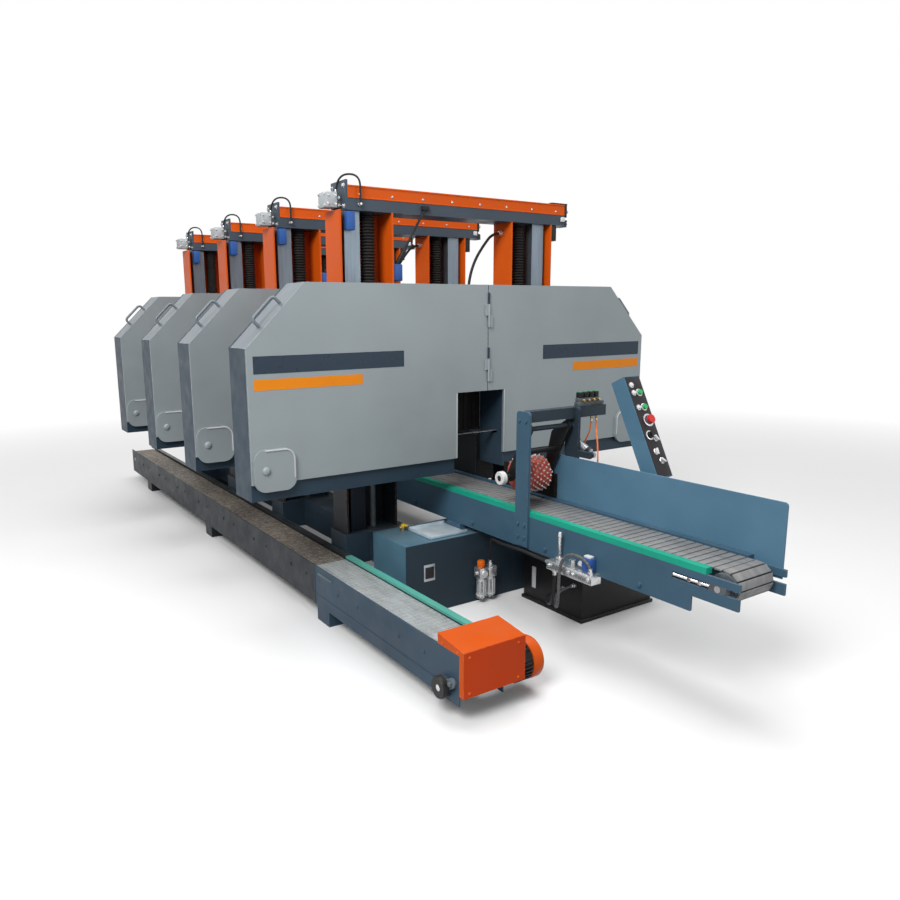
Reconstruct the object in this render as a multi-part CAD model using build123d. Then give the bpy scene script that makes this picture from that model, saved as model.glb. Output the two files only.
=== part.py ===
from build123d import *
import math
import os

# Multihead horizontal resaw.  Sizes in millimetres, angles in degrees.
# X runs across the machine, Y with the feed, Z up.  The origin is on the floor, under the
# middle of the feed belt, in the plane of the first head's doors.

# Fits
running_gap = 0.05
curved_gap = 0.3
slide_gap = 0.5

# Saw heads
head_count = 4
head_pitch = 857.0
door_bottom = 780.0
door_height = 920.0
door_left = 1325.0
door_right = 1275.0
door_chamfer = 295.0
door_sheet = 4.0
door_flange_depth = 200.0
door_lip_depth = 15.0
seam_x = 45.0
seam_gap = 6.0
notch_half_width = 160.0
notch_height = 355.0
notch_recess = 8.0
frame_sheet = 8.0
frame_setback = 3.0
back_plate_gap = 5.0
back_plate_thickness = 20.0
rail_height = 80.0
rail_gap = 3.0
mullion_width = 40.0
mullion_top_gap = 6.0

# Door hinge at the seam
hinge_offset = 8.0
hinge_pin_radius = 4.0
knuckle_radius = 6.5
knuckle_length = 60.0
knuckle_gap = 1.0
hinge_leaf_width = 20.0
hinge_leaf_thickness = 4.0
hinge_top_inset = 40.0
hinge_set_spacing = 290.0
hinge_lug_thickness = 4.0

# Door handle and corner cover
handle_radius = 8.0
handle_spacing = 150.0
handle_standoff = 50.0
handle_bend = 20.0
handle_setback = 60.0
handle_from_corner = 131.0
cover_width = 207.0
cover_height = 200.0
cover_proud = 15.0
cover_corner = 55.0
cover_side_inset = 8.0
cover_hang = 36.0
cover_bolt_radius = 9.0
cover_bolt_height = 10.0
cover_bolt_inset = 66.0

# Wheels and blade
wheel_reach = 850.0
wheel_radius = 350.0
wheel_width = 45.0
wheel_rim = 40.0
wheel_web = 14.0
wheel_hub_radius = 75.0
wheel_hub_width = 70.0
wheel_hole_radius = 62.0
wheel_hole_circle = 195.0
wheel_hole_count = 6
wheel_floor_gap = 115.0
wheel_front = 70.0
shaft_radius = 30.0
axle_cap_radius = 42.0
axle_cap_length = 8.0
blade_width = 36.0
blade_thickness = 1.2
blade_slot_height = 30.0
blade_slot_side_gap = 8.0
guide_block_length = 50.0
guide_block_height = 40.0

# Blade motor
bearing_boss_radius = 90.0
bearing_boss_length = 20.0
motor_radius = 120.0
motor_length = 300.0
motor_flange_radius = 130.0
motor_flange_length = 20.0
motor_bore_depth = 30.0
motor_shaft_end_gap = 5.0
terminal_box_width = 90.0
terminal_box_length = 120.0
terminal_box_height = 60.0

# Gantry
motor_column_gap = 5.0
column_width = 315.0
column_depth = 160.0
column_wall = 10.0
column_gap = 15.0
beam_bottom = 2068.0
beam_height = 58.0
beam_left_inset = 50.0
beam_right_overhang = 100.0
beam_cover_height = 62.0
beam_end_plate = 12.0
beam_end_plate_rise = 25.0
post_inset = 85.0
post_size = 90.0
post_setback = 30.0
screw_inset = 200.0
screw_radius = 18.0
screw_setback = 75.0
bellows_radius = 42.0
bellows_root = 35.0
bellows_bore = 25.0
bellows_bottom = 1370.0
bellows_rib_count = 24
bellows_collar = 12.0
shoe_cheek = 24.0
shoe_reach = 60.0
shoe_height = 100.0
shoe_centers = (1050.0, 1550.0)
nut_arm_width = 70.0
nut_arm_height = 40.0
nut_arm_bottom = 1200.0
nut_arm_reach = 35.0
lift_box_size = (66.0, 90.0, 76.0)
lift_coupling_size = (27.0, 70.0, 64.0)
lift_box_drop = 11.0
switch_bracket_length = 70.0
switch_bracket_height = 34.0
switch_bracket_depth = 60.0

# Bed
bed_height = 385.0
bed_outer = 578.0
bed_beam_width = 230.0
bed_beam_height = 170.0
bed_front = -130.0
bed_box_depth = 330.0
bed_length = 3560.0
bed_wall = 10.0
bed_rib = 40.0
sleeper_overhang = 15.0
sleeper_margin = 10.0
foot_width = 80.0
foot_depth = 100.0
foot_thickness = 20.0
anchor_hole_radius = 11.0
tray_thickness = 4.0
tray_left = 408.0
tray_depth = 220.0
tray_front_inset = 30.0

# Feed conveyor
belt_height = 600.0
belt_width = 210.0
belt_thickness = 8.0
drum_radius = 55.0
drum_face_gap = 5.0
feed_near_end = -1690.0
feed_far_end = 3760.0
drum_inset = 90.0
side_plate_outer = 150.0
side_plate_thickness = 12.0
side_plate_top = 580.0
side_plate_bottom = 415.0
prong_bottom = 478.0
prong_length = 200.0
takeup_slot_height = 27.0
takeup_slot_length = 290.0
slider_thickness = 8.0
slider_end_gap = 25.0
tie_radius = 20.0
tie_count = 6
support_pad_width = 40.0
support_pad_length = 120.0
strip_width = 36.0
strip_rise = 25.0
strip_near_gap = 140.0
drum_shaft_radius = 12.5
drum_shaft_overhang = 15.0
takeup_block_length = 70.0
takeup_block_width = 30.0
takeup_screw_radius = 7.0
takeup_nut_radius = 12.0
takeup_nut_length = 12.0
fence_thickness = 8.0
fence_bottom = 536.0
fence_height = 300.0
fence_near = -1669.0
fence_far = -410.0
fence_near_corner = 15.0
fence_far_corner = 60.0
guide_gap = 10.0
guide_length = 525.0
guide_height = 334.0
guide_corner = 30.0
feed_gearbox_size = (110.0, 150.0, 150.0)
feed_motor_radius = 75.0
feed_motor_length = 230.0
feed_shaft_depth = 60.0

# Hold-down press
portal_y = -530.0
portal_post_width = 90.0
portal_post_thickness = 15.0
portal_foot = 427.0
portal_top = 1089.0
portal_bar_right = 370.0
portal_bar_depth = 50.0
portal_bar_height = 54.0
portal_corner = 18.0
portal_bolt_radius = 9.0
portal_bolt_height = 7.0
arm_pivot_drop = 35.0
arm_plate_thickness = 12.0
arm_plate_outer = 130.0
arm_half_width = 24.0
arm_pin_radius = 12.0
arm_reach = 130.0
axle_radius = 15.0
axle_left_end = 195.0
axle_ring_radius = 32.0
axle_ring_length = 22.0
roller_radius = 88.0
roller_rest_gap = 57.0
roller_half_length = 75.0
spike_radius = 4.0
spike_height = 8.0
spike_rows = 6
spike_count = 16
rod_pin_reach = 80.0
rod_pin_drop = 55.0
rod_pin_radius = 6.0
rod_pin_end = 208.0
cylinder_x = 197.0
cylinder_foot_reach = 110.0
cylinder_foot_drop = 142.0
cylinder_pin_radius = 8.0
cylinder_radius = 20.0
cylinder_start = 22.0
cylinder_length = 110.0
cylinder_eye_radius = 16.0
cylinder_eye_thickness = 14.0
rod_radius = 7.0
rod_eye_slot = (18.0, 28.0)
rod_eye_size = (32.0, 42.0)
rod_eye_thickness = 10.0
rod_insert = 85.0

# Control box
panel_x = 260.0
panel_width = 105.0
panel_thickness = 84.0
panel_length = 508.0
panel_lean = 26.5
panel_bottom_y = -985.0
panel_bottom_height = 792.0
control_post_size = 60.0
control_post_y = -900.0
control_arm_bottom = 445.0
button_radius = 12.0
button_height = 10.0
button_stem_radius = 7.0
button_stem_depth = 22.0
button_column = 26.0
button_rows = (86.0, 160.0)
stop_row = 226.0
stop_radius = 21.0
stop_height = 26.0
selector_row = 300.0
selector_radius = 13.0
selector_height = 12.0
selector_bar = (8.0, 30.0, 10.0)

# Hydraulic unit and air filter
tank_x = (127.0, 651.0)
tank_y = (-669.0, -230.0)
tank_height = 250.0
tank_lip = 8.0
tank_lip_height = 18.0
tank_wall = 4.0
pump_motor_radius = 80.0
pump_motor_length = 260.0
pump_motor_x = 440.0
pump_foot_height = 20.0
manifold_size = (110.0, 130.0, 60.0)
manifold_inset = 60.0
valve_size = (60.0, 280.0, 44.0)
valve_y = -900.0
valve_drop = 29.0
coil_size = (40.0, 54.0, 72.0)
coil_y = -985.0
stem_radius = 8.0
stem_height = 140.0
stem_y = -815.0
filter_x = (-122.0, -60.0)
filter_block = 56.0
filter_block_height = 58.0
filter_bowl_radius = 24.0
filter_bowl_height = 120.0
filter_top = 202.0
filter_knob_radius = 20.0
filter_knob_height = 38.0
filter_gap = 8.0

# Return conveyor
return_bed_gap = 10.0
return_width = 217.0
return_near_end = -1097.0
return_far_end = 4250.0
return_plate = 6.0
return_bottom = 79.0
return_top = 287.0
return_belt_top = 281.0
return_belt_thickness = 6.0
return_belt_side_gap = 6.0
return_strip_width = 34.0
return_strip_height = 12.0
return_drive_y = -1005.0
return_drive_height = 130.0
return_drive_radius = 45.0
return_nose_y = -880.0
return_nose_radius = 50.0
return_idler_inset = 95.0
return_idler_radius = 70.0
return_shaft_radius = 15.0
return_foot_width = 79.0
return_foot_depth = 133.0
return_foot_places = (0.0, 1860.0, 3570.0)
return_bearing_radius = 42.0
return_bearing_length = 34.0
guard_reach = 85.0
guard_front = -1125.0
guard_depth = 170.0
guard_sheet = 3.0
guard_bottom = 122.0
guard_front_height = 186.0
guard_back_rise = 22.0
guard_gap = 5.0
return_motor_radius = 88.0
return_motor_length = 135.0
return_motor_height = 140.0
return_gearbox_size = (90.0, 110.0, 110.0)

# Hoses and cables
bend_share = 0.45
hose_radius = 7.0
motor_cable_radius = 8.0
lift_cable_radius = 5.0
lift_cable_rise = 100.0
lift_cable_stand = 22.0
lift_cable_bend = 30.0
# The motor cable's points are given inward from the right column and down from the beam, and the
# other routes' points as X, Y, Z between their ends.
motor_cable_points = ((0.0, 57.0), (70.0, 57.0), (138.0, 128.0), (205.0, 218.0), (245.0, 328.0),
                      (250.0, 448.0), (195.0, 548.0), (95.0, 598.0), (0.0, 598.0))
hose_run_in = 127.0
arch_port_y = -1027.0
arch_top = 500.0
arch_points = ((-225.0, -860.0, 500.0), (-225.0, -860.0, 230.0), (-150.0, -760.0, 190.0))
arch_entry = (-620.0, 190.0)
arch_bends = (68.0, 80.0, 60.0, 160.0, 120.0)
drop_port_y = -785.0
drop_low = 250.0
drop_points = ((-130.0, -700.0, 160.0),)
drop_entry = (-540.0, 150.0)
drop_bends = (90.0, 200.0, 120.0)
air_rise = 88.0
air_points = ((-150.0, -270.0, 400.0), (-205.0, -430.0, 415.0), (-200.0, -590.0, 425.0))
air_entry_height = 408.0
air_run_in = 80.0
air_tube_radius = 4.0
press_tube_drop = 70.0
press_tube_run_in = 65.0
front_tube_inset = 40.0
front_tube_points = ((290.0, -585.0, 880.0), (235.0, -640.0, 780.0), (215.0, -660.0, 640.0))
front_tube_entry = (-660.0, 475.0)
rear_tube_inset = 75.0
rear_tube_points = ((280.0, -500.0, 890.0), (240.0, -460.0, 780.0), (215.0, -445.0, 640.0))
rear_tube_entry = (-445.0, 475.0)

# Levels and planes worked out from the sizes above
door_top = door_bottom + door_height
notch_top = door_bottom + notch_height
frame_front = door_lip_depth + frame_setback
back_front = door_flange_depth + back_plate_gap
back_rear = back_front + back_plate_thickness
rail_bottom = door_bottom - rail_gap - rail_height
notch_wall = notch_half_width + notch_recess
wheel_height = door_bottom + wheel_floor_gap + wheel_radius
blade_middle_y = wheel_front + wheel_width / 2
blade_height = wheel_height - wheel_radius - curved_gap - blade_thickness
boss_rear = back_rear + bearing_boss_length
column_front = back_rear + column_gap
column_outer = wheel_reach - motor_flange_radius - motor_column_gap
column_inner = column_outer - column_width
beam_left = column_outer - beam_left_inset
beam_right = column_outer + beam_right_overhang
post_x = column_outer - post_inset
screw_x = column_outer - screw_inset
sleeper_outer = column_outer + sleeper_overhang
column_rear = column_front + column_depth
post_front = column_front + post_setback
screw_y = column_front + screw_setback
beam_top = beam_bottom + beam_height
bed_rear = bed_front + bed_length
drum_height = belt_height - belt_thickness - drum_radius
idler_drum_y = feed_near_end + drum_inset
drive_drum_y = feed_far_end - drum_inset
side_plate_inner = side_plate_outer - side_plate_thickness
arm_pivot_height = portal_top - portal_bar_height - arm_pivot_drop
axle_y = portal_y + arm_reach
axle_height = belt_height + roller_rest_gap + roller_radius
rod_pin_y = portal_y + rod_pin_reach
rod_pin_height = arm_pivot_height - rod_pin_drop
cylinder_foot_y = portal_y - cylinder_foot_reach
cylinder_foot_height = arm_pivot_height - cylinder_foot_drop
return_inner = sleeper_outer + return_bed_gap
return_outer = return_inner + return_width
guard_right = return_inner - guard_reach
return_idler_y = return_far_end - return_idler_inset
return_idler_height = return_belt_top - return_belt_thickness - return_idler_radius
return_belt_left = -return_outer + return_plate + return_belt_side_gap
return_belt_right = -return_inner - return_strip_width
sides = (-1, 1)


def block(x0, x1, y0, y1, z0, z1):
    """A box between two corners, given in any order."""
    middle = Pos((x0 + x1) / 2, (y0 + y1) / 2, (z0 + z1) / 2)
    return middle * Box(abs(x1 - x0), abs(y1 - y0), abs(z1 - z0))


def rod_x(x0, x1, y, z, radius):
    """A round bar along X."""
    return Pos((x0 + x1) / 2, y, z) * Rot(0, 90, 0) * Cylinder(radius, abs(x1 - x0))


def rod_y(x, y0, y1, z, radius):
    """A round bar along Y."""
    return Pos(x, (y0 + y1) / 2, z) * Rot(90, 0, 0) * Cylinder(radius, abs(y1 - y0))


def rod_z(x, y, z0, z1, radius):
    """A round bar along Z."""
    return Pos(x, y, (z0 + z1) / 2) * Cylinder(radius, abs(z1 - z0))


def plate_xz(points, y0, y1):
    """A plate of the given XZ outline, from y0 to y1."""
    face = Plane.XZ.offset(-y0) * Polygon(*points, align=None)
    return extrude(face, amount=y1 - y0, dir=(0, 1, 0))


def plate_yz(points, x0, x1):
    """A plate of the given YZ outline, from x0 to x1."""
    face = Plane.YZ.offset(x0) * Polygon(*points, align=None)
    return extrude(face, amount=x1 - x0, dir=(1, 0, 0))


def fuse(pieces):
    """Weld several pieces into one."""
    first, *rest = pieces
    return first.fuse(*rest).clean() if rest else first


def group(pieces):
    """Several separate solids in one node."""
    solids = []
    for piece in pieces:
        solids.extend(piece.solids())
    return Compound(children=solids)


def at_heads(make):
    """The same pieces at every head of the row."""
    pieces = make()
    return [Pos(0, head_pitch * place, 0) * piece for place in range(head_count) for piece in pieces]


def tube(points, radii, radius):
    """A round tube along straight runs joined by arcs."""
    path = FilletPolyline(*points, radius=radii)
    start = Plane(origin=path @ 0, z_dir=path % 0)
    return sweep(start * Circle(radius), path=path)


# Saw head
def hinge_levels():
    """Lower ends of the frame lug, left knuckle and right knuckle of each hinge set."""
    step = knuckle_length + knuckle_gap
    levels = []
    for number in range(2):
        top = door_top - hinge_top_inset - number * hinge_set_spacing
        levels.append((top - step, top - 2 * step, top - 3 * step))
    return levels


def head_frame():
    """Back plate, walls, rail, hinge pins, slide shoes and lift nut arms of one head."""
    outline = [
        (-door_left, rail_bottom),
        (-notch_wall, rail_bottom),
        (-notch_wall, notch_top + notch_recess),
        (notch_wall, notch_top + notch_recess),
        (notch_wall, rail_bottom),
        (door_right, rail_bottom),
        (door_right, door_top - door_chamfer),
        (door_right - door_chamfer, door_top),
        (-door_left + door_chamfer, door_top),
        (-door_left, door_top - door_chamfer),
    ]
    pieces = [plate_xz(outline, back_front, back_rear)]
    roof = notch_top + notch_recess
    for side, reach in ((-1, door_left), (1, door_right)):
        outer = side * reach
        inner = side * notch_wall
        wall_top = door_top - door_chamfer
        pieces.append(block(outer, outer - side * frame_sheet, frame_front, back_front, rail_bottom, wall_top))
        pieces.append(block(outer, inner, frame_front, back_front, rail_bottom, rail_bottom + frame_sheet))
        rail_top = rail_bottom + rail_height
        pieces.append(block(outer, inner, frame_front, frame_front + frame_sheet, rail_bottom, rail_top))
        pieces.append(block(inner, inner + side * frame_sheet, frame_front, back_front, rail_bottom, roof))
        guide_start = inner + side * frame_sheet
        guide_low = blade_height + blade_thickness + slide_gap
        pieces.append(block(guide_start, guide_start + side * guide_block_length,
                            blade_middle_y - blade_width / 2, blade_middle_y + blade_width / 2,
                            guide_low, guide_low + guide_block_height))
        pieces.extend(slide_shoe(side, center) for center in shoe_centers)
        pieces.append(nut_arm(side))
    roof_reach = notch_wall + frame_sheet
    pieces.append(block(-roof_reach, roof_reach, frame_front, back_front, roof, roof + frame_sheet))
    mullion_top = door_top - door_sheet - mullion_top_gap
    mullion_left = seam_x - mullion_width / 2
    mullion_right = seam_x + mullion_width / 2
    pieces.append(block(mullion_left, mullion_right, frame_front, back_front, roof, mullion_top))
    pieces.extend(hinge_pins())
    pieces.append(rod_y(wheel_reach, wheel_front - axle_cap_length, back_front, wheel_height, shaft_radius))
    pieces.append(rod_y(wheel_reach, wheel_front - 2 * axle_cap_length, wheel_front - axle_cap_length,
                        wheel_height, axle_cap_radius))
    hub_rear = wheel_front + wheel_width / 2 + wheel_hub_width / 2
    for x in (-wheel_reach, wheel_reach):
        pieces.append(rod_y(x, hub_rear + curved_gap, boss_rear, wheel_height, bearing_boss_radius))
    frame = fuse(pieces)
    frame -= rod_y(-wheel_reach, frame_front, boss_rear, wheel_height, shaft_radius + running_gap)
    slot_half = blade_width / 2 + blade_slot_side_gap
    slot_reach = notch_wall + frame_sheet
    frame -= block(-slot_reach, slot_reach, blade_middle_y - slot_half, blade_middle_y + slot_half,
                   blade_height - blade_slot_height / 2, blade_height + blade_thickness + slide_gap)
    upper_span = wheel_height + wheel_radius
    return frame - block(mullion_left, mullion_right, blade_middle_y - slot_half, blade_middle_y + slot_half,
                         upper_span - blade_slot_height / 2, upper_span + blade_slot_height / 2)


def hinge_pins():
    """Hinge pins in front of the seam, each on a lug that comes out between the doors."""
    pieces = []
    for lug, left, right in hinge_levels():
        pieces.append(rod_z(seam_x, -hinge_offset, right, lug + knuckle_length, hinge_pin_radius))
        half = hinge_lug_thickness / 2
        pieces.append(block(seam_x - half, seam_x + half, -hinge_offset, frame_front, lug, lug + knuckle_length))
    return pieces


def slide_shoe(side, center):
    """A U-shaped shoe that runs on a guide post."""
    low = center - shoe_height / 2
    high = center + shoe_height / 2
    inner = post_x - post_size / 2 - slide_gap - shoe_cheek
    outer = post_x + post_size / 2 + slide_gap + shoe_cheek
    shoe = block(side * inner, side * outer, back_rear, post_front + shoe_reach, low, high)
    half = post_size / 2 + slide_gap
    return shoe - block(side * (post_x - half), side * (post_x + half), post_front - slide_gap,
                        post_front + shoe_reach, low, high)


def nut_arm(side):
    """The arm that holds the lift nut round its screw."""
    half = nut_arm_width / 2
    high = nut_arm_bottom + nut_arm_height
    arm = block(side * (screw_x - half), side * (screw_x + half), back_rear, screw_y + nut_arm_reach,
                nut_arm_bottom, high)
    return arm - rod_z(side * screw_x, screw_y, nut_arm_bottom, high, screw_radius + running_gap)


def wheel(x):
    """A band wheel with rim, holed web and hub, axis along Y."""
    rear = wheel_front + wheel_width
    middle = wheel_front + wheel_width / 2
    rim = rod_y(x, wheel_front, rear, wheel_height, wheel_radius)
    rim -= rod_y(x, wheel_front, rear, wheel_height, wheel_radius - wheel_rim)
    web = rod_y(x, middle - wheel_web / 2, middle + wheel_web / 2, wheel_height, wheel_radius - wheel_rim / 2)
    hub = rod_y(x, middle - wheel_hub_width / 2, middle + wheel_hub_width / 2, wheel_height, wheel_hub_radius)
    body = fuse([rim, web, hub])
    for number in range(wheel_hole_count):
        angle = 2 * math.pi * number / wheel_hole_count
        hole_x = x + wheel_hole_circle * math.cos(angle)
        hole_z = wheel_height + wheel_hole_circle * math.sin(angle)
        body -= rod_y(hole_x, wheel_front, rear, hole_z, wheel_hole_radius)
    return body


def drive_wheel():
    """The driven wheel with its shaft."""
    shaft_end = boss_rear + motor_bore_depth - motor_shaft_end_gap
    return fuse([wheel(-wheel_reach), rod_y(-wheel_reach, wheel_front, shaft_end, wheel_height, shaft_radius)])


def idler_wheel():
    """The idler wheel, bored to run on the frame's axle."""
    rear = wheel_front + wheel_width / 2 + wheel_hub_width / 2
    front = wheel_front + wheel_width / 2 - wheel_hub_width / 2
    bored = wheel(wheel_reach) - rod_y(wheel_reach, front, rear, wheel_height, shaft_radius + running_gap)
    recess = axle_cap_radius + curved_gap
    return bored - rod_y(wheel_reach, front, wheel_front - axle_cap_length + curved_gap, wheel_height, recess)


def saw_blade():
    """The endless blade round both wheels."""
    inner = 2 * (wheel_radius + curved_gap)
    outer = inner + 2 * blade_thickness
    loop = SlotCenterToCenter(2 * wheel_reach, outer) - SlotCenterToCenter(2 * wheel_reach, inner)
    front = Plane(origin=(0, blade_middle_y - blade_width / 2, wheel_height), x_dir=(1, 0, 0), z_dir=(0, 1, 0))
    return extrude(front * loop, amount=blade_width)


def blade_motor():
    """Flanged motor behind the drive wheel with its terminal box."""
    x = -wheel_reach
    rear = boss_rear + motor_flange_length + motor_length
    flange = rod_y(x, boss_rear, boss_rear + motor_flange_length, wheel_height, motor_flange_radius)
    body = rod_y(x, boss_rear + motor_flange_length, rear, wheel_height, motor_radius)
    box_front = boss_rear + motor_flange_length + (motor_length - terminal_box_length) / 2
    box = block(x - terminal_box_width / 2, x + terminal_box_width / 2,
                box_front, box_front + terminal_box_length,
                wheel_height, wheel_height + motor_radius + terminal_box_height)
    motor = fuse([flange, body, box])
    return motor - rod_y(x, boss_rear, boss_rear + motor_bore_depth, wheel_height, shaft_radius + running_gap)


def door(side):
    """One door of a head: pan, hinge knuckles, corner cover and grab handle."""
    outer = side * (door_left if side < 0 else door_right)
    seam = seam_x + side * seam_gap / 2
    notch = side * notch_half_width
    outline = [
        (seam, notch_top),
        (notch, notch_top),
        (notch, door_bottom),
        (outer, door_bottom),
        (outer, door_top - door_chamfer),
        (outer - side * door_chamfer, door_top),
        (seam, door_top),
    ]
    pieces = [plate_xz(outline, 0, door_sheet)]
    skew = door_sheet * math.sqrt(2)
    flange = [
        (seam, door_top),
        (outer - side * door_chamfer, door_top),
        (outer, door_top - door_chamfer),
        (outer - side * skew, door_top - door_chamfer),
        (outer - side * (door_chamfer + skew - door_sheet), door_top - door_sheet),
        (seam, door_top - door_sheet),
    ]
    pieces.append(plate_xz(flange, 0, door_flange_depth))
    pieces.append(block(outer, outer - side * door_sheet, 0, door_lip_depth,
                        door_bottom, door_top - door_chamfer))
    pieces.append(block(outer, notch, 0, door_lip_depth, door_bottom, door_bottom + door_sheet))
    pieces.append(block(notch, notch + side * door_sheet, 0, door_lip_depth, door_bottom, notch_top))
    pieces.append(block(notch + side * door_sheet, seam, 0, door_lip_depth, notch_top, notch_top + door_sheet))
    for lug, left, right in hinge_levels():
        low = left if side < 0 else right
        pieces.append(rod_z(seam_x, -hinge_offset, low, low + knuckle_length, knuckle_radius))
        pieces.append(block(seam_x, seam + side * hinge_leaf_width, -hinge_offset - hinge_leaf_thickness / 2,
                            -hinge_offset + hinge_leaf_thickness / 2, low, low + knuckle_length))
        pieces.append(block(seam + side * seam_gap, seam + side * hinge_leaf_width,
                            -hinge_offset - hinge_leaf_thickness / 2, 0, low, low + knuckle_length))
    pan = fuse(pieces)
    for lug, left, right in hinge_levels():
        pan -= rod_z(seam_x, -hinge_offset, right, lug + knuckle_length, hinge_pin_radius + running_gap)
    return group([pan, corner_cover(side, outer), door_handle(side, outer)])


def corner_cover(side, outer):
    """Rounded cover on the lower outer corner of a door, with its dome bolt."""
    x = outer - side * (cover_side_inset + cover_width / 2)
    low = door_bottom - cover_hang
    face = Plane(origin=(x, 0, low + cover_height / 2), x_dir=(1, 0, 0), z_dir=(0, -1, 0))
    cover = extrude(face * RectangleRounded(cover_width, cover_height, cover_corner), amount=cover_proud)
    bolt_x = outer - side * cover_bolt_inset
    bolt = rod_y(bolt_x, -cover_proud - cover_bolt_height, -cover_proud, low + cover_height / 2,
                 cover_bolt_radius)
    return fuse([cover, bolt])


def door_handle(side, outer):
    """Grab handle on the chamfer of a door."""
    slope = 1 / math.sqrt(2)
    along = Vector(-side * slope, 0, slope)
    away = Vector(side * slope, 0, slope)
    first = Vector(outer, handle_setback, door_top - door_chamfer) + along * handle_from_corner
    second = first + along * handle_spacing
    points = [first, first + away * handle_standoff, second + away * handle_standoff, second]
    return tube(points, handle_bend, handle_radius)


# Gantry
def gantry_columns():
    """Two C columns of one gantry, open to the front."""
    pieces = []
    for side in sides:
        inner = side * column_inner
        outer = side * column_outer
        column = block(inner, outer, column_front, column_rear, bed_height, beam_bottom)
        column -= block(inner + side * column_wall, outer - side * column_wall, column_front,
                        column_rear - column_wall, bed_height, beam_bottom)
        pieces.append(column)
    return pieces


def guide_posts():
    """Two square guide posts of one gantry."""
    half = post_size / 2
    return [block(side * post_x - half, side * post_x + half, post_front, post_front + post_size,
                  bed_height, beam_bottom) for side in sides]


def lift_screws():
    """Two lift screws of one gantry."""
    return [rod_z(side * screw_x, screw_y, bed_height, beam_bottom, screw_radius) for side in sides]


def screw_bellows():
    """Ribbed bellows that hang from the beam round the lift screws."""
    pitch = (beam_bottom - bellows_collar - bellows_bottom) / bellows_rib_count
    profile = ((0, bellows_root), (0.4, bellows_radius), (0.5, bellows_radius), (0.9, bellows_root))
    circles = []
    for rib in range(bellows_rib_count):
        for share, radius in profile:
            level = bellows_bottom + (rib + share) * pitch
            circles.append(Plane(origin=(0, 0, level), x_dir=(1, 0, 0), z_dir=(0, 0, 1)) * Circle(radius))
    last_root = bellows_bottom + (bellows_rib_count - 1 + profile[-1][0]) * pitch
    collar = rod_z(0, 0, last_root, beam_bottom, bellows_radius)
    body = fuse([loft(circles, ruled=True), collar])
    body -= rod_z(0, 0, bellows_bottom, beam_bottom, bellows_bore)
    return [Pos(side * screw_x, screw_y, 0) * body for side in sides]


def top_beams():
    """Cross beam of one gantry with its end plate and limit switch bracket."""
    beam = block(-beam_left, beam_right, column_front, column_rear, beam_bottom, beam_top)
    plate = block(-beam_left - beam_end_plate, -beam_left, column_front, column_rear, beam_bottom,
                  beam_top + beam_cover_height + beam_end_plate_rise)
    middle = (column_front + column_rear) / 2
    bracket = block(beam_right, beam_right + switch_bracket_length, middle - switch_bracket_depth / 2,
                    middle + switch_bracket_depth / 2, beam_bottom, beam_bottom + switch_bracket_height)
    return [fuse([beam, plate, bracket])]


def beam_covers():
    """Orange cover on top of one gantry's beam."""
    return [block(-beam_left, beam_right, column_front, column_rear, beam_top, beam_top + beam_cover_height)]


def lift_gearmotors():
    """Lift drive on the left end of one gantry's beam: coupling block and motor box."""
    middle = (column_front + column_rear) / 2
    start = -beam_left - beam_end_plate
    pieces = []
    for length, depth, height in (lift_coupling_size, lift_box_size):
        low = beam_bottom + lift_box_drop
        pieces.append(block(start - length, start, middle - depth / 2, middle + depth / 2, low, low + height))
        start -= length
    return [fuse(pieces)]


# Bed
def open_box(x0, x1, y0, y1, z0, z1):
    """A welded box without a bottom."""
    low_x, high_x = sorted((x0, x1))
    cavity = block(low_x + bed_wall, high_x - bed_wall, y0 + bed_wall, y1 - bed_wall, z0, z1 - bed_wall)
    return block(x0, x1, y0, y1, z0, z1) - cavity


def bed_frame():
    """Front and rear boxes, long beams, anchor feet and tray in one, with the column sleepers beside them."""
    pieces = []
    sleepers = []
    beam_low = bed_height - bed_beam_height
    for y in (bed_front, bed_rear - bed_box_depth):
        pieces.append(open_box(-bed_outer, bed_outer, y, y + bed_box_depth, 0, bed_height))
        pieces.append(block(-bed_rib / 2, bed_rib / 2, y, y + bed_box_depth, 0, bed_height))
    for side in sides:
        inner = side * (bed_outer - bed_beam_width)
        outer = side * bed_outer
        pieces.append(open_box(inner, outer, bed_front + bed_box_depth - bed_wall,
                               bed_rear - bed_box_depth + bed_wall, beam_low, bed_height))
        for place in range(head_count):
            y = column_front + head_pitch * place
            sleepers.append(open_box(outer, side * sleeper_outer, y - sleeper_margin,
                                     y + column_depth + sleeper_margin, beam_low, bed_height))
        for y in (bed_front, bed_rear - foot_depth):
            foot = block(outer, outer + side * foot_width, y, y + foot_depth, 0, foot_thickness)
            hole_x = outer + side * foot_width / 2
            pieces.append(foot - rod_z(hole_x, y + foot_depth / 2, 0, foot_thickness, anchor_hole_radius))
    tray_y = bed_front + tray_front_inset
    tray_right = (side_plate_inner + side_plate_outer + support_pad_width) / 2 + slide_gap
    pieces.append(block(-tray_left, -tray_right, tray_y, tray_y + tray_depth,
                        bed_height, bed_height + tray_thickness))
    return group([fuse(pieces), *sleepers])


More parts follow.
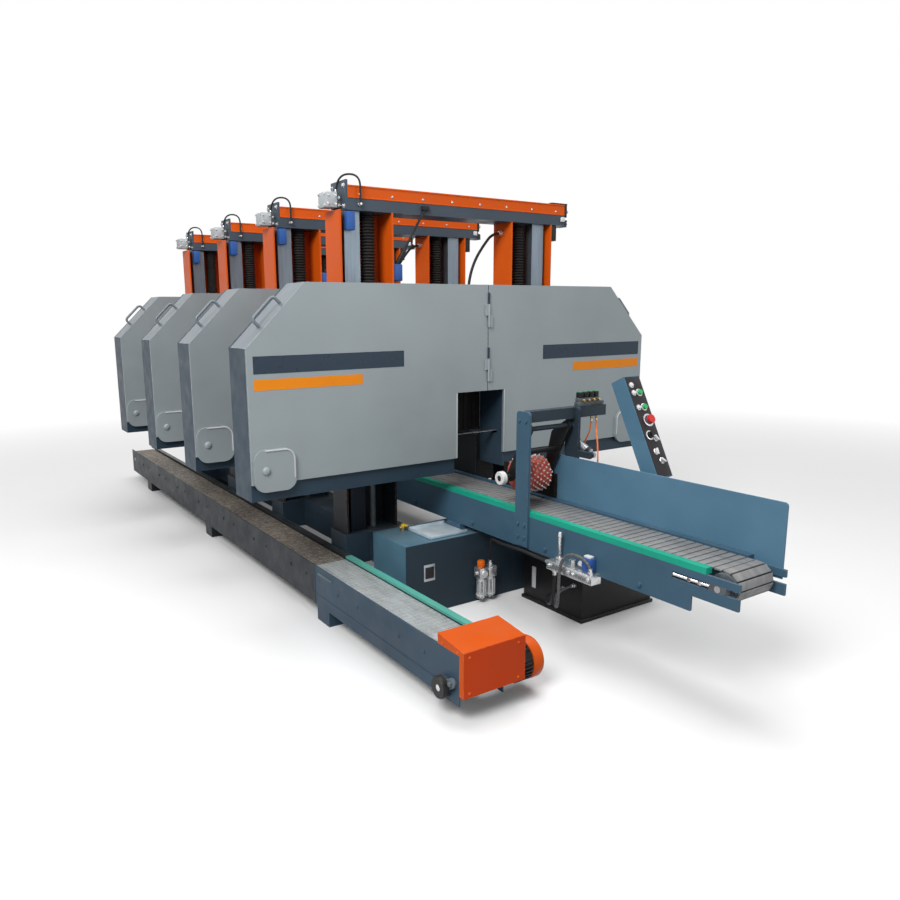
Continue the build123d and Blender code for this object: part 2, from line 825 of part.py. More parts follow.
# Feed conveyor
def conveyor_frame():
    """Side plates with take-up forks, slider bed, ties and pads on the bed."""
    slot_low = drum_height - takeup_slot_height / 2
    slot_high = drum_height + takeup_slot_height / 2
    slot_end = feed_near_end + takeup_slot_length
    outline = [
        (feed_near_end, slot_high),
        (feed_near_end, side_plate_top),
        (feed_far_end, side_plate_top),
        (feed_far_end, side_plate_bottom),
        (feed_near_end + prong_length, side_plate_bottom),
        (feed_near_end + prong_length, prong_bottom),
        (feed_near_end, prong_bottom),
        (feed_near_end, slot_low),
        (slot_end, slot_low),
        (slot_end, slot_high),
    ]
    pieces = []
    for side in sides:
        low_x, high_x = sorted((side * side_plate_inner, side * side_plate_outer))
        pieces.append(plate_yz(outline, low_x, high_x))
        middle = side * (side_plate_inner + side_plate_outer) / 2
        for y in (bed_front + bed_box_depth / 2, bed_rear - bed_box_depth / 2):
            pieces.append(block(middle - support_pad_width / 2, middle + support_pad_width / 2,
                                y - support_pad_length / 2, y + support_pad_length / 2,
                                bed_height, side_plate_bottom))
    slider_top = belt_height - belt_thickness - curved_gap
    slider_ends = drum_radius + slider_end_gap
    half = belt_width / 2
    pieces.append(block(-half, half, idler_drum_y + slider_ends, drive_drum_y - slider_ends,
                        side_plate_top, slider_top))
    pieces.append(block(-side_plate_inner, side_plate_inner, idler_drum_y + slider_ends,
                        drive_drum_y - slider_ends, side_plate_top - slider_thickness, side_plate_top))
    tie_step = (drive_drum_y - slot_end) / tie_count
    for number in range(tie_count):
        tie_y = slot_end + tie_step * (number + 0.5)
        pieces.append(rod_x(-side_plate_inner, side_plate_inner, tie_y, drum_height, tie_radius))
    frame = fuse(pieces)
    return frame - rod_x(-side_plate_outer, side_plate_outer, drive_drum_y, drum_height,
                         drum_shaft_radius + running_gap)


def belt_loop(rounds, thickness, x0, x1):
    """An endless belt round the given circles, each (y, z, radius), in the order of its hull."""
    with BuildSketch(Plane.YZ.offset(x0)) as outer:
        for y, z, radius in rounds:
            with Locations((y, z)):
                Circle(radius + curved_gap + thickness)
        make_hull()
    with BuildSketch(Plane.YZ.offset(x0)) as inner:
        for y, z, radius in rounds:
            with Locations((y, z)):
                Circle(radius + curved_gap)
        make_hull()
    return extrude(outer.sketch - inner.sketch, amount=x1 - x0, dir=(1, 0, 0))


def conveyor_belts():
    """The feed belt and the return belt."""
    half = belt_width / 2
    feed = belt_loop([(idler_drum_y, drum_height, drum_radius - curved_gap),
                      (drive_drum_y, drum_height, drum_radius - curved_gap)], belt_thickness, -half, half)
    nose_height = return_belt_top - return_belt_thickness - return_nose_radius
    back = belt_loop([(return_drive_y, return_drive_height, return_drive_radius),
                      (return_nose_y, nose_height, return_nose_radius - curved_gap),
                      (return_idler_y, return_idler_height, return_idler_radius - curved_gap)],
                     return_belt_thickness, return_belt_left, return_belt_right)
    return group([feed, back])


def drum(y, left_end, right_end):
    """A belt drum on its shaft."""
    half = belt_width / 2 + drum_face_gap
    body = rod_x(-half, half, y, drum_height, drum_radius - curved_gap)
    return fuse([body, rod_x(left_end, right_end, y, drum_height, drum_shaft_radius)])


def edge_strips():
    """Green guide strips beside both belts."""
    top = side_plate_top + strip_rise
    start = feed_near_end + strip_near_gap
    pieces = []
    for side in sides:
        outer = side * side_plate_outer
        pieces.append(block(outer, outer - side * strip_width, start, feed_far_end, side_plate_top, top))
    pieces.append(block(-return_inner, -return_inner - return_strip_width,
                        guard_front + guard_depth, return_far_end,
                        return_top, return_top + return_strip_height))
    return group(pieces)


def side_fence(near, far, height, near_corner, far_corner):
    """A fence plate on the right side plate's outer face, with rounded upper corners."""
    top = fence_bottom + height
    outline = Plane.YZ.offset(side_plate_outer) * Polygon(
        (near, fence_bottom), (far, fence_bottom), (far, top), (near, top), align=None)
    for place, radius in ((0, near_corner), (-1, far_corner)):
        upper = outline.vertices().group_by(Axis.Z)[-1].sort_by(Axis.Y)
        outline = fillet(upper[place], radius)
    return extrude(outline, amount=fence_thickness, dir=(1, 0, 0))


def guide_plates():
    """The fence plate behind a head, which keeps the boards in line until the next head."""
    near = back_rear + guide_gap
    return [side_fence(near, near + guide_length, guide_height, guide_corner, guide_corner)]


def infeed_fence():
    """The long fence before the first head and a guide plate behind every head."""
    long_fence = side_fence(fence_near, fence_far, fence_height, fence_near_corner, fence_far_corner)
    return group([long_fence] + at_heads(guide_plates))


def takeup_sets():
    """Take-up bearing blocks with their tension screws and nuts, one set on each side."""
    half = takeup_slot_height / 2
    inner = side_plate_outer - takeup_block_width
    screw_place = side_plate_outer - takeup_nut_radius
    rear = idler_drum_y + takeup_block_length / 2
    slot_end = feed_near_end + takeup_slot_length
    pieces = []
    for side in sides:
        bearing = block(side * inner, side * side_plate_outer, idler_drum_y - takeup_block_length / 2, rear,
                        drum_height - half, drum_height + half)
        screw = rod_y(side * screw_place, rear, slot_end, drum_height, takeup_screw_radius)
        nut_y = (rear + slot_end) / 2
        nut = rod_y(side * screw_place, nut_y, nut_y + takeup_nut_length, drum_height, takeup_nut_radius)
        bore = rod_x(side * inner, side * side_plate_outer, idler_drum_y, drum_height,
                     drum_shaft_radius + running_gap)
        pieces.append(fuse([bearing, screw, nut]) - bore)
    return group(pieces)


def feed_gearmotor():
    """Gearmotor on the right end of the drive drum's shaft."""
    width, depth, height = feed_gearbox_size
    right = side_plate_outer + width
    gearbox = block(side_plate_outer, right, drive_drum_y - depth / 2, drive_drum_y + depth / 2,
                    drum_height - height / 2, drum_height + height / 2)
    motor = rod_x(right, right + feed_motor_length, drive_drum_y, drum_height, feed_motor_radius)
    bore = rod_x(side_plate_outer, side_plate_outer + feed_shaft_depth + drum_shaft_overhang, drive_drum_y,
                 drum_height, drum_shaft_radius + running_gap)
    return fuse([gearbox, motor]) - bore


# Hold-down press
def press_portal():
    """Two posts and a crossbar over the conveyor, with the arm's pivot pin and the cylinder's foot."""
    half = portal_post_width / 2
    left = (-side_plate_outer - portal_post_thickness, -side_plate_outer)
    right_face = side_plate_outer + fence_thickness
    right = (right_face, right_face + portal_post_thickness)
    pieces = []
    for x0, x1 in (left, right):
        post = block(x0, x1, portal_y - half, portal_y + half, portal_foot, portal_top)
        upper = post.edges().filter_by(Axis.X).group_by(Axis.Z)[-1]
        pieces.append(fillet(upper, portal_corner))
    pieces.append(block(right_face - fence_thickness, right_face, portal_y - half, portal_y + half,
                        portal_foot, fence_bottom))
    pieces.append(block(left[0], portal_bar_right,
                        portal_y - portal_bar_depth / 2, portal_y + portal_bar_depth / 2,
                        portal_top - portal_bar_height, portal_top))
    pieces.append(rod_x(left[0], right[1], portal_y, arm_pivot_height, arm_pin_radius))
    bolt_levels = (portal_foot + half, side_plate_top - half, portal_top - half)
    for level in bolt_levels:
        for y in (portal_y - half / 2, portal_y + half / 2):
            pieces.append(rod_x(left[0] - portal_bolt_height, left[0], y, level, portal_bolt_radius))
    pieces.append(rod_x(right[0], cylinder_x + cylinder_eye_thickness, cylinder_foot_y, cylinder_foot_height,
                        cylinder_pin_radius))
    reach = cylinder_eye_radius
    pieces.append(block(right[0], right[1], cylinder_foot_y - reach, portal_y, cylinder_foot_height - reach,
                        cylinder_foot_height + reach))
    return fuse(pieces)


def arm_plate(rounds, x0, x1):
    """A plate drawn round the given points of the arm."""
    with BuildSketch(Plane.YZ.offset(x0)) as outline:
        for y, z in rounds:
            with Locations((y, z)):
                Circle(arm_half_width)
        make_hull()
    return extrude(outline.sketch, amount=x1 - x0, dir=(1, 0, 0))


def press_arm():
    """Swing arm: two plates joined by a tie, with the roller's axle and the rod's pin."""
    pivot = (portal_y, arm_pivot_height)
    axle = (axle_y, axle_height)
    rod_pin = (rod_pin_y, rod_pin_height)
    plate_inner = arm_plate_outer - arm_plate_thickness
    tie_y = (portal_y + axle_y) / 2
    tie_z = (arm_pivot_height + axle_height) / 2
    arm = fuse([
        arm_plate([pivot, axle], -arm_plate_outer, -plate_inner),
        arm_plate([pivot, axle, rod_pin], plate_inner, arm_plate_outer),
        rod_x(-arm_plate_outer, arm_plate_outer, tie_y, tie_z, arm_pin_radius),
        rod_x(-axle_left_end, arm_plate_outer, axle_y, axle_height, axle_radius),
        rod_x(-axle_left_end, -axle_left_end + axle_ring_length, axle_y, axle_height, axle_ring_radius),
        rod_x(plate_inner, rod_pin_end, rod_pin_y, rod_pin_height, rod_pin_radius),
    ])
    return arm - rod_x(-side_plate_outer, side_plate_outer, portal_y, arm_pivot_height,
                       arm_pin_radius + running_gap)


def press_roller():
    """Spiked feed roller on the arm's axle."""
    body = rod_x(-roller_half_length, roller_half_length, axle_y, axle_height, roller_radius)
    pieces = [body]
    row_step = 2 * roller_half_length / spike_rows
    for row in range(spike_rows):
        x = -roller_half_length + row_step * (row + 0.5)
        for number in range(spike_count):
            turn = 360 * (number + 0.5 * (row % 2)) / spike_count
            spike = Pos(0, 0, roller_radius) * Cone(spike_radius, spike_radius / 4, 2 * spike_height)
            pieces.append(Pos(x, axle_y, axle_height) * Rot(turn, 0, 0) * spike)
    roller = fuse(pieces)
    return roller - rod_x(-roller_half_length, roller_half_length, axle_y, axle_height, axle_radius + running_gap)


def cylinder_plane():
    """The plane whose Z axis runs along the press cylinder, from its foot to the rod's pin."""
    foot = Vector(cylinder_x, cylinder_foot_y, cylinder_foot_height)
    tip = Vector(cylinder_x, rod_pin_y, rod_pin_height)
    return Plane(origin=foot, x_dir=(1, 0, 0), z_dir=tip - foot), (tip - foot).length


def press_cylinder():
    """Air cylinder with its foot eye, bored for the rod."""
    plane, span = cylinder_plane()
    high = cylinder_start + cylinder_length
    barrel = Pos(0, 0, (cylinder_start + high) / 2) * Cylinder(cylinder_radius, cylinder_length)
    eye = Rot(0, 90, 0) * Cylinder(cylinder_eye_radius, cylinder_eye_thickness)
    neck_half = cylinder_eye_thickness / 2
    neck = block(-neck_half, neck_half, -neck_half, neck_half, 0, cylinder_start)
    body = fuse([barrel, eye, neck])
    body -= Rot(0, 90, 0) * Cylinder(cylinder_pin_radius + running_gap, 2 * cylinder_eye_thickness)
    body -= Pos(0, 0, high - rod_insert / 2) * Cylinder(rod_radius + curved_gap, rod_insert)
    return plane * body


def press_rod():
    """Piston rod with a slotted eye round the arm's pin."""
    plane, span = cylinder_plane()
    high = cylinder_start + cylinder_length
    start = high - rod_insert / 2
    slot_width, slot_length = rod_eye_slot
    eye_width, eye_length = rod_eye_size
    rod_end = span - slot_width / 2
    rod = Pos(0, 0, (start + rod_end) / 2) * Cylinder(rod_radius, rod_end - start)
    half = rod_eye_thickness / 2
    eye = block(-half, half, -eye_length / 2, eye_length / 2, span - eye_width / 2, span + eye_width / 2)
    slot = block(-half, half, -slot_length / 2, slot_length / 2, span - slot_width / 2, span + slot_width / 2)
    return plane * (fuse([rod, eye]) - slot)


# Control box
def panel_place(across, down):
    """The plane on the panel's face at a point, across from its left edge and down from its top."""
    lean = math.radians(panel_lean)
    up = panel_length - down
    point = (panel_x + across, panel_bottom_y + up * math.sin(lean), panel_bottom_height + up * math.cos(lean))
    return Plane(origin=point, x_dir=(1, 0, 0), z_dir=(0, -math.cos(lean), math.sin(lean)))


def button_places():
    """Places on the panel of the push buttons, the emergency stop and the selector."""
    right = panel_width / 2 + button_column / 2
    left = panel_width / 2 - button_column / 2
    return {
        "upper": panel_place(right, button_rows[0]),
        "lower": panel_place(right, button_rows[1]),
        "stop": panel_place(right, stop_row),
        "selector": panel_place(left, selector_row),
    }


def control_box():
    """Leaning box on a post and an arm from the conveyor's right side plate."""
    lean = math.radians(panel_lean)
    along = Vector(0, math.sin(lean), math.cos(lean))
    inward = Vector(0, math.cos(lean), -math.sin(lean))
    low = Vector(0, panel_bottom_y, panel_bottom_height)
    corners = [low, low + along * panel_length, low + along * panel_length + inward * panel_thickness,
               low + inward * panel_thickness]
    box = plate_yz([(corner.Y, corner.Z) for corner in corners], panel_x, panel_x + panel_width)
    middle = panel_x + panel_width / 2
    half = control_post_size / 2
    box_low = low + inward * panel_thickness
    post_top = box_low.Z + panel_thickness
    post = block(middle - half, middle + half, control_post_y - half, control_post_y + half,
                 control_arm_bottom, post_top)
    arm = block(side_plate_outer, middle + half, control_post_y - half, control_post_y + half,
                control_arm_bottom, control_arm_bottom + control_post_size)
    box = fuse([box, post, arm])
    for plane in button_places().values():
        depth = button_stem_depth + button_height
        box -= plane * Pos(0, 0, -depth / 2) * Cylinder(button_stem_radius + curved_gap, depth)
    return box


def push_button(plane):
    """A push button: cap on a stem."""
    cap = Pos(0, 0, button_height) * Cylinder(button_radius, button_height)
    stem = Pos(0, 0, -button_stem_depth / 2 + button_height / 2)
    stem = stem * Cylinder(button_stem_radius, button_stem_depth + button_height)
    return plane * fuse([cap, stem])


def emergency_stop(plane):
    """A mushroom button on a stem."""
    half = stop_height / 2
    cap = Pos(0, 0, stop_height - half / 2) * Cylinder(stop_radius, half)
    stem = Pos(0, 0, (stop_height - button_stem_depth) / 2)
    stem = stem * Cylinder(button_stem_radius, button_stem_depth + stop_height)
    return plane * fuse([cap, stem])


def mode_selector(plane):
    """A turning selector with a raised bar."""
    dial = Pos(0, 0, curved_gap + selector_height / 2) * Cylinder(selector_radius, selector_height)
    width, length, height = selector_bar
    bar = Pos(0, 0, curved_gap + selector_height + height / 2) * Box(width, length, height)
    stem = Pos(0, 0, (selector_height - button_stem_depth) / 2)
    stem = stem * Cylinder(button_stem_radius, button_stem_depth + selector_height)
    return plane * fuse([dial, bar, stem])


# Hydraulic unit and air filter
def hydraulic_unit():
    """Tank with lip, pump motor and manifold, and the valve on the conveyor's left plate."""
    x0, x1 = tank_x
    y0, y1 = tank_y
    tank = block(x0, x1, y0, y1, 0, tank_height)
    tank -= block(x0 + tank_wall, x1 - tank_wall, y0 + tank_wall, y1 - tank_wall, 0, tank_height - tank_wall)
    lip = block(x0 - tank_lip, x1 + tank_lip, y0 - tank_lip, y1 + tank_lip, 0, tank_lip_height)
    lip -= block(x0, x1, y0, y1, 0, tank_lip_height)
    middle_y = (y0 + y1) / 2
    motor_height = tank_height + pump_foot_height + pump_motor_radius
    motor = rod_y(pump_motor_x, middle_y - pump_motor_length / 2, middle_y + pump_motor_length / 2,
                  motor_height, pump_motor_radius)
    foot = block(pump_motor_x - pump_motor_radius, pump_motor_x + pump_motor_radius,
                 middle_y - pump_motor_length / 4, middle_y + pump_motor_length / 4,
                 tank_height, motor_height - pump_motor_radius / 2)
    width, depth, height = manifold_size
    manifold_x = x0 + manifold_inset
    manifold = block(manifold_x, manifold_x + width, y0 + manifold_inset, y0 + manifold_inset + depth,
                     tank_height, tank_height + height)
    return group([fuse([tank, lip]), fuse([motor, foot]), manifold, valve_block()])


def valve_block():
    """Valve block with its coil on the outside of the conveyor's left plate."""
    width, depth, height = valve_size
    low = side_plate_bottom - valve_drop
    top = low + height
    middle = -side_plate_outer - width / 2
    body = block(-side_plate_outer - width, -side_plate_outer, valve_y - depth / 2, valve_y + depth / 2, low, top)
    coil_width, coil_depth, coil_height = coil_size
    coil = block(-side_plate_outer - coil_width, -side_plate_outer,
                 coil_y - coil_depth / 2, coil_y + coil_depth / 2, top, top + coil_height)
    stem = rod_z(middle, stem_y, top, top + stem_height, stem_radius)
    return fuse([body, coil, stem])


def filter_regulator():
    """Filter and oiler bowls under their blocks on the bed's front face, with the pressure knob."""
    half = filter_block / 2
    middle_y = bed_front - filter_gap - half
    low = filter_top - filter_block_height
    pieces = []
    for x in filter_x:
        pieces.append(block(x - half, x + half, middle_y - half, middle_y + half, low, filter_top))
        pieces.append(rod_z(x, middle_y, low - filter_bowl_height, low, filter_bowl_radius))
        pieces.append(block(x - half / 2, x + half / 2, middle_y, bed_front, low, filter_top))
    pieces.append(block(filter_x[0], filter_x[1], middle_y - half / 2, middle_y + half / 2, low, filter_top))
    pieces.append(rod_z(filter_x[0], middle_y, filter_top, filter_top + filter_knob_height, filter_knob_radius))
    return fuse(pieces)


# Return conveyor
def return_frame():
    """Side plates, slider bed, ties, end bearing and feet of the return conveyor."""
    pieces = []
    outer = -return_outer
    inner = -return_inner
    for x in (outer, inner - return_plate):
        pieces.append(block(x, x + return_plate, return_near_end, return_far_end, return_bottom, return_top))
    slider_top = return_belt_top - return_belt_thickness - curved_gap
    slider_end = return_idler_y - return_idler_radius - slider_end_gap
    pieces.append(block(outer + return_plate, inner - return_plate, return_nose_y, slider_end,
                        slider_top - slider_thickness, slider_top))
    for place in return_foot_places:
        for start in (outer, inner - return_foot_width):
            pieces.append(block(start, start + return_foot_width, place, place + return_foot_depth,
                                0, return_bottom))
        pieces.append(block(outer, inner, place, place + return_foot_depth,
                            return_bottom, return_bottom + return_plate))
    pieces.append(rod_x(outer - return_bearing_length, outer, return_drive_y, return_drive_height,
                        return_bearing_radius))
    frame = fuse(pieces)
    frame -= rod_x(outer - return_bearing_length, inner, return_drive_y, return_drive_height,
                   return_shaft_radius + running_gap)
    return frame - rod_x(outer, inner, return_idler_y, return_idler_height, return_shaft_radius + running_gap)


def return_roller(y, z, radius, left_end, right_end):
    """A belt roller of the return conveyor on its shaft."""
    body = rod_x(return_belt_left, return_belt_right, y, z, radius - curved_gap)
    return fuse([body, rod_x(left_end, right_end, y, z, return_shaft_radius)])


def chain_guard():
    """Sloping sheet guard over the drive end of the return conveyor."""
    back = guard_front + guard_depth
    top = guard_bottom + guard_front_height
    left = -return_outer
    right = -guard_right
    outline = [(guard_front, guard_bottom), (back, guard_bottom),
               (back, top + guard_back_rise), (guard_front, top)]
    cavity = [(guard_front + guard_sheet, guard_bottom), (back, guard_bottom),
              (back, top + guard_back_rise - guard_sheet), (guard_front + guard_sheet, top - guard_sheet)]
    shell = plate_yz(outline, left, right)
    shell -= plate_yz(cavity, left + guard_sheet, right - guard_sheet)
    shell -= block(left, -return_inner, return_near_end, back, guard_bottom, return_top)
    width, depth, height = return_gearbox_size
    reach = depth / 2 + guard_gap
    rise = height / 2 + guard_gap
    return shell - block(-return_inner, right, return_drive_y - reach, return_drive_y + reach,
                         guard_bottom, return_drive_height + rise)


def return_gearmotor():
    """Gearmotor on the inner end of the return conveyor's drive shaft."""
    width, depth, height = return_gearbox_size
    left = -return_inner
    right = left + width
    gearbox = block(left, right, return_drive_y - depth / 2, return_drive_y + depth / 2,
                    return_drive_height - height / 2, return_drive_height + height / 2)
    motor = rod_x(right, right + return_motor_length, return_drive_y, return_motor_height, return_motor_radius)
    bore = rod_x(left, right, return_drive_y, return_drive_height, return_shaft_radius + running_gap)
    return fuse([gearbox, motor]) - bore


# Hoses and cables
def bends(points):
    """Radius of each corner of a route, as large as its two runs allow."""
    radii = []
    for before, corner, after in zip(points, points[1:], points[2:]):
        first = Vector(*corner) - Vector(*before)
        second = Vector(*after) - Vector(*corner)
        shorter = min(first.length, second.length)
        radii.append(bend_share * shorter / math.tan(math.radians(first.get_angle(second)) / 2))
    return radii


def gantry_cables():
    """The lift drive's cable over the beam's end and the motor cable down the right column."""
    middle = (column_front + column_rear) / 2
    start_x = -beam_left - beam_end_plate - lift_coupling_size[0] / 2
    start_z = beam_bottom + lift_box_drop + lift_coupling_size[2]
    top = start_z + lift_cable_rise
    front = column_front - lift_cable_stand
    end_x = -beam_left + 2 * lift_cable_bend
    end_z = beam_bottom + beam_height / 2
    lift_route = [(start_x, middle, start_z), (start_x, middle, top), (end_x, front, top),
                  (end_x, front, end_z), (end_x, column_front, end_z)]
    lift_bends = [lift_cable_bend, lift_cable_bend, lift_cable_stand - slide_gap]
    motor_route = [(column_inner - reach, middle, beam_bottom - drop) for reach, drop in motor_cable_points]
    return [tube(lift_route, lift_bends, lift_cable_radius),
            tube(motor_route, bends(motor_route), motor_cable_radius)]


def supply_hoses():
    """Two hoses from the valve to the tank and one from the air filter to the valve."""
    valve_low = side_plate_bottom - valve_drop
    valve_top = valve_low + valve_size[2]
    arch_x = -side_plate_outer - valve_size[0] + hose_radius
    drop_x = -side_plate_outer - valve_size[0] / 2
    tank_side = tank_x[0]
    filter_y = bed_front - filter_gap - filter_block / 2
    valve_rear = valve_y + valve_size[1] / 2
    arch = [(arch_x, arch_port_y, valve_top), (arch_x, arch_port_y, arch_top), *arch_points,
            (tank_side - hose_run_in, *arch_entry), (tank_side, *arch_entry)]
    drop = [(drop_x, drop_port_y, valve_low), (drop_x, drop_port_y, drop_low), *drop_points,
            (tank_side - hose_run_in, *drop_entry), (tank_side, *drop_entry)]
    air = [(filter_x[1], filter_y, filter_top), (filter_x[1], filter_y, filter_top + air_rise), *air_points,
           (drop_x, valve_rear + air_run_in, air_entry_height), (drop_x, valve_rear, air_entry_height)]
    return [tube(arch, arch_bends, hose_radius), tube(drop, drop_bends, hose_radius),
            tube(air, bends(air), hose_radius)]


def press_tubes():
    """Two air tubes from the portal's crossbar down to the conveyor's right side plate."""
    bar_low = portal_top - portal_bar_height
    routes = ((front_tube_inset, front_tube_points, front_tube_entry),
              (rear_tube_inset, rear_tube_points, rear_tube_entry))
    pieces = []
    for inset, points, entry in routes:
        x = portal_bar_right - inset
        route = [(x, portal_y, bar_low), (x, portal_y, bar_low - press_tube_drop), *points,
                 (side_plate_outer + press_tube_run_in, *entry), (side_plate_outer, *entry)]
        pieces.append(tube(route, bends(route), air_tube_radius))
    return pieces


def build():
    """Every node by name."""
    feed_left = -side_plate_outer - drum_shaft_overhang
    feed_right = side_plate_outer + drum_shaft_overhang
    return_left = -return_outer - return_bearing_length
    return_right = -return_inner + return_gearbox_size[0]
    nodes = {
        "gantry_columns": group(at_heads(gantry_columns)),
        "guide_posts": group(at_heads(guide_posts)),
        "lift_screws": group(at_heads(lift_screws)),
        "screw_bellows": group(at_heads(screw_bellows)),
        "top_beams": group(at_heads(top_beams)),
        "beam_covers": group(at_heads(beam_covers)),
        "gearmotors": group(at_heads(lift_gearmotors) + [feed_gearmotor(), return_gearmotor()]),
        "bed_frame": bed_frame(),
        "conveyor_frame": conveyor_frame(),
        "conveyor_belts": conveyor_belts(),
        "edge_strips": edge_strips(),
        "infeed_fence": infeed_fence(),
        "takeup_sets": takeup_sets(),
        "feed_idler_drum": drum(idler_drum_y, -side_plate_outer, side_plate_outer),
        "feed_drive_drum": drum(drive_drum_y, feed_left, feed_right + feed_shaft_depth),
        "press_portal": press_portal(),
        "press_arm": press_arm(),
        "press_roller": press_roller(),
        "press_cylinder": press_cylinder(),
        "press_rod": press_rod(),
        "control_box": control_box(),
        "start_button_upper": push_button(button_places()["upper"]),
        "start_button_lower": push_button(button_places()["lower"]),
        "emergency_stop": emergency_stop(button_places()["stop"]),
        "mode_selector": mode_selector(button_places()["selector"]),
        "hydraulic_unit": hydraulic_unit(),
        "filter_regulator": filter_regulator(),
        "return_frame": return_frame(),
        "return_drive_roller": return_roller(return_drive_y, return_drive_height, return_drive_radius,
                                             return_left, return_right),
        "return_idler_roller": return_roller(return_idler_y, return_idler_height, return_idler_radius,
                                             -return_outer, -return_inner),
        "chain_guard": chain_guard(),
        "hoses": group(at_heads(gantry_cables) + supply_hoses() + press_tubes()),
    }
    head = {
        "head_frame": head_frame(),
        "left_door": door(-1),
        "right_door": door(1),
        "drive_wheel": drive_wheel(),
        "idler_wheel": idler_wheel(),
        "saw_blade": saw_blade(),
        "blade_motor": blade_motor(),
    }
    for place in range(head_count):
        for name, shape in head.items():
            nodes[f"{name}_{place + 1}"] = Pos(0, head_pitch * place, 0) * shape
    return nodes


os.makedirs("parts", exist_ok=True)
for node_name, node_shape in build().items():
    export_step(node_shape, f"parts/{node_name}.step")
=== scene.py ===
import functools
import itertools
import math

import bmesh
import bpy
from mathutils import Matrix, Vector


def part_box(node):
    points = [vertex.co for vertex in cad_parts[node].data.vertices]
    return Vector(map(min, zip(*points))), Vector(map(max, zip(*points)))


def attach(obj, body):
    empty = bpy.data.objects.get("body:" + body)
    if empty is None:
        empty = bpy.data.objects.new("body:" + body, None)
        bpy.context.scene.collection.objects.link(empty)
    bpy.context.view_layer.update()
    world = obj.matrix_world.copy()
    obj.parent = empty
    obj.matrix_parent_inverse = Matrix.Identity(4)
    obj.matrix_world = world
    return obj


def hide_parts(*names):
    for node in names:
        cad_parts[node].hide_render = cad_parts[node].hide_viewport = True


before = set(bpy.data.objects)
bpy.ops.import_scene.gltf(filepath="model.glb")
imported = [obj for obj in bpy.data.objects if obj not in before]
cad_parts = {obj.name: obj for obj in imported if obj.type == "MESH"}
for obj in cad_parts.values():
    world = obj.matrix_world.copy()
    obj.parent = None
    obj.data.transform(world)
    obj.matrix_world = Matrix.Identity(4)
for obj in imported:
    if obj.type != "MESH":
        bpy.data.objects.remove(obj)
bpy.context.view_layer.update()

# Multihead horizontal resaw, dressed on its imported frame.  Metres, Z up, the feed along +Y.

# Camera, fitted to the photograph's frame
frame_pixels = 900.0
focal_pixels = 738.389
sensor_width = 36.0
principal_point = (407.052, 453.128)
camera_place = (-2.4963, -3.1709, 1.5451)
camera_yaw = 32.416
camera_pitch = 10.586
camera_roll = -0.608
camera_reach = 200.0

# Stage; a lamp has a place, a diameter and a power
floor_half = 40.0
floor_colour = (0.86, 0.86, 0.86)
floor_cloud = 0.01
floor_cloud_scale = 0.8
floor_roughness = 0.9
floor_specular = 0.1
floor_bounce = 0.25
floor_fade = (3.5, 9.0)
world_strength = 0.42
lamp_settings = (
    ("key_lamp", (-4.8, -2.9, 5.2), 3.0, 370.0),
    ("top_lamp", (0.3, 0.8, 8.0), 6.0, 330.0),
    ("fill_lamp", (3.5, -8.0, 3.5), 4.5, 70.0),
)
lamp_target = (-0.2, 0.8, 1.0)

# Paint and material colours
door_colour = (0.300, 0.342, 0.358)
# painted shade on the door flanges
door_flange_shade_colour = (0.170, 0.200, 0.222)
blue_colour = (0.052, 0.112, 0.168)
fence_colour = (0.088, 0.190, 0.280)
return_colour = (0.034, 0.064, 0.098)
beam_colour = (0.058, 0.078, 0.102)
dark_blue_colour = (0.024, 0.045, 0.068)
orange_colour = (0.70, 0.100, 0.006)
# lighter edge colours: chipped paint and a painted highlight along the edges
orange_worn_highlit = (0.88, 0.26, 0.05)
column_worn_highlit = (0.70, 0.16, 0.03)
green_colour = (0.012, 0.36, 0.24)
teal_colour = (0.085, 0.350, 0.290)
dust_colour = (0.30, 0.27, 0.23)
# painted shade: a near-black for parts that lie in shade
painted_shade_colour = (0.016, 0.020, 0.026)
# painted shade and painted light on the bed: dark navy on its front face and rear, a lighter blue on the
# sides of its front box
bed_shade_colour = (0.022, 0.038, 0.054)
bed_box_lit_colour = (0.084, 0.182, 0.250)
# painted shade on the portal
portal_shade_colour = (0.026, 0.040, 0.054)
# painted shade on the chain guard's front face
guard_front_shade_colour = (0.560, 0.052, 0.004)
post_colour = (0.205, 0.250, 0.295)
# sawdust and painted shade on the rear of the return belt
sawdust_and_shade_colour = (0.150, 0.125, 0.098)

# Clouding, gloss, lighter edges (chipped paint and painted highlight) and dust of every finish; a band is
# where a noise or a slope begins and ends
cloud_band = (0.30, 0.70)
cloud_detail = 7.0
gloss_scale = 4.0
gloss_detail = 5.0
gloss_swing = (0.82, 1.20)
grain_detail = 3.0
edge_samples = 6
edge_band = (0.995, 0.90)
edge_noise = (38.0, 5.0)
edge_break = (0.42, 0.66)
dust_slope = (0.55, 0.98)
dust_noise = (7.0, 8.0)
dust_band = (0.36, 0.72)

# Places where a paint changes colour; past them the rear of the return conveyor and its strip, the fence's
# far end and the feet of the columns and posts are painted near-black as painted shade
return_shade_start = 0.154
skin_depth = 0.004
zone_blur = 0.002
foot_zone = 0.760
fence_end = -0.405

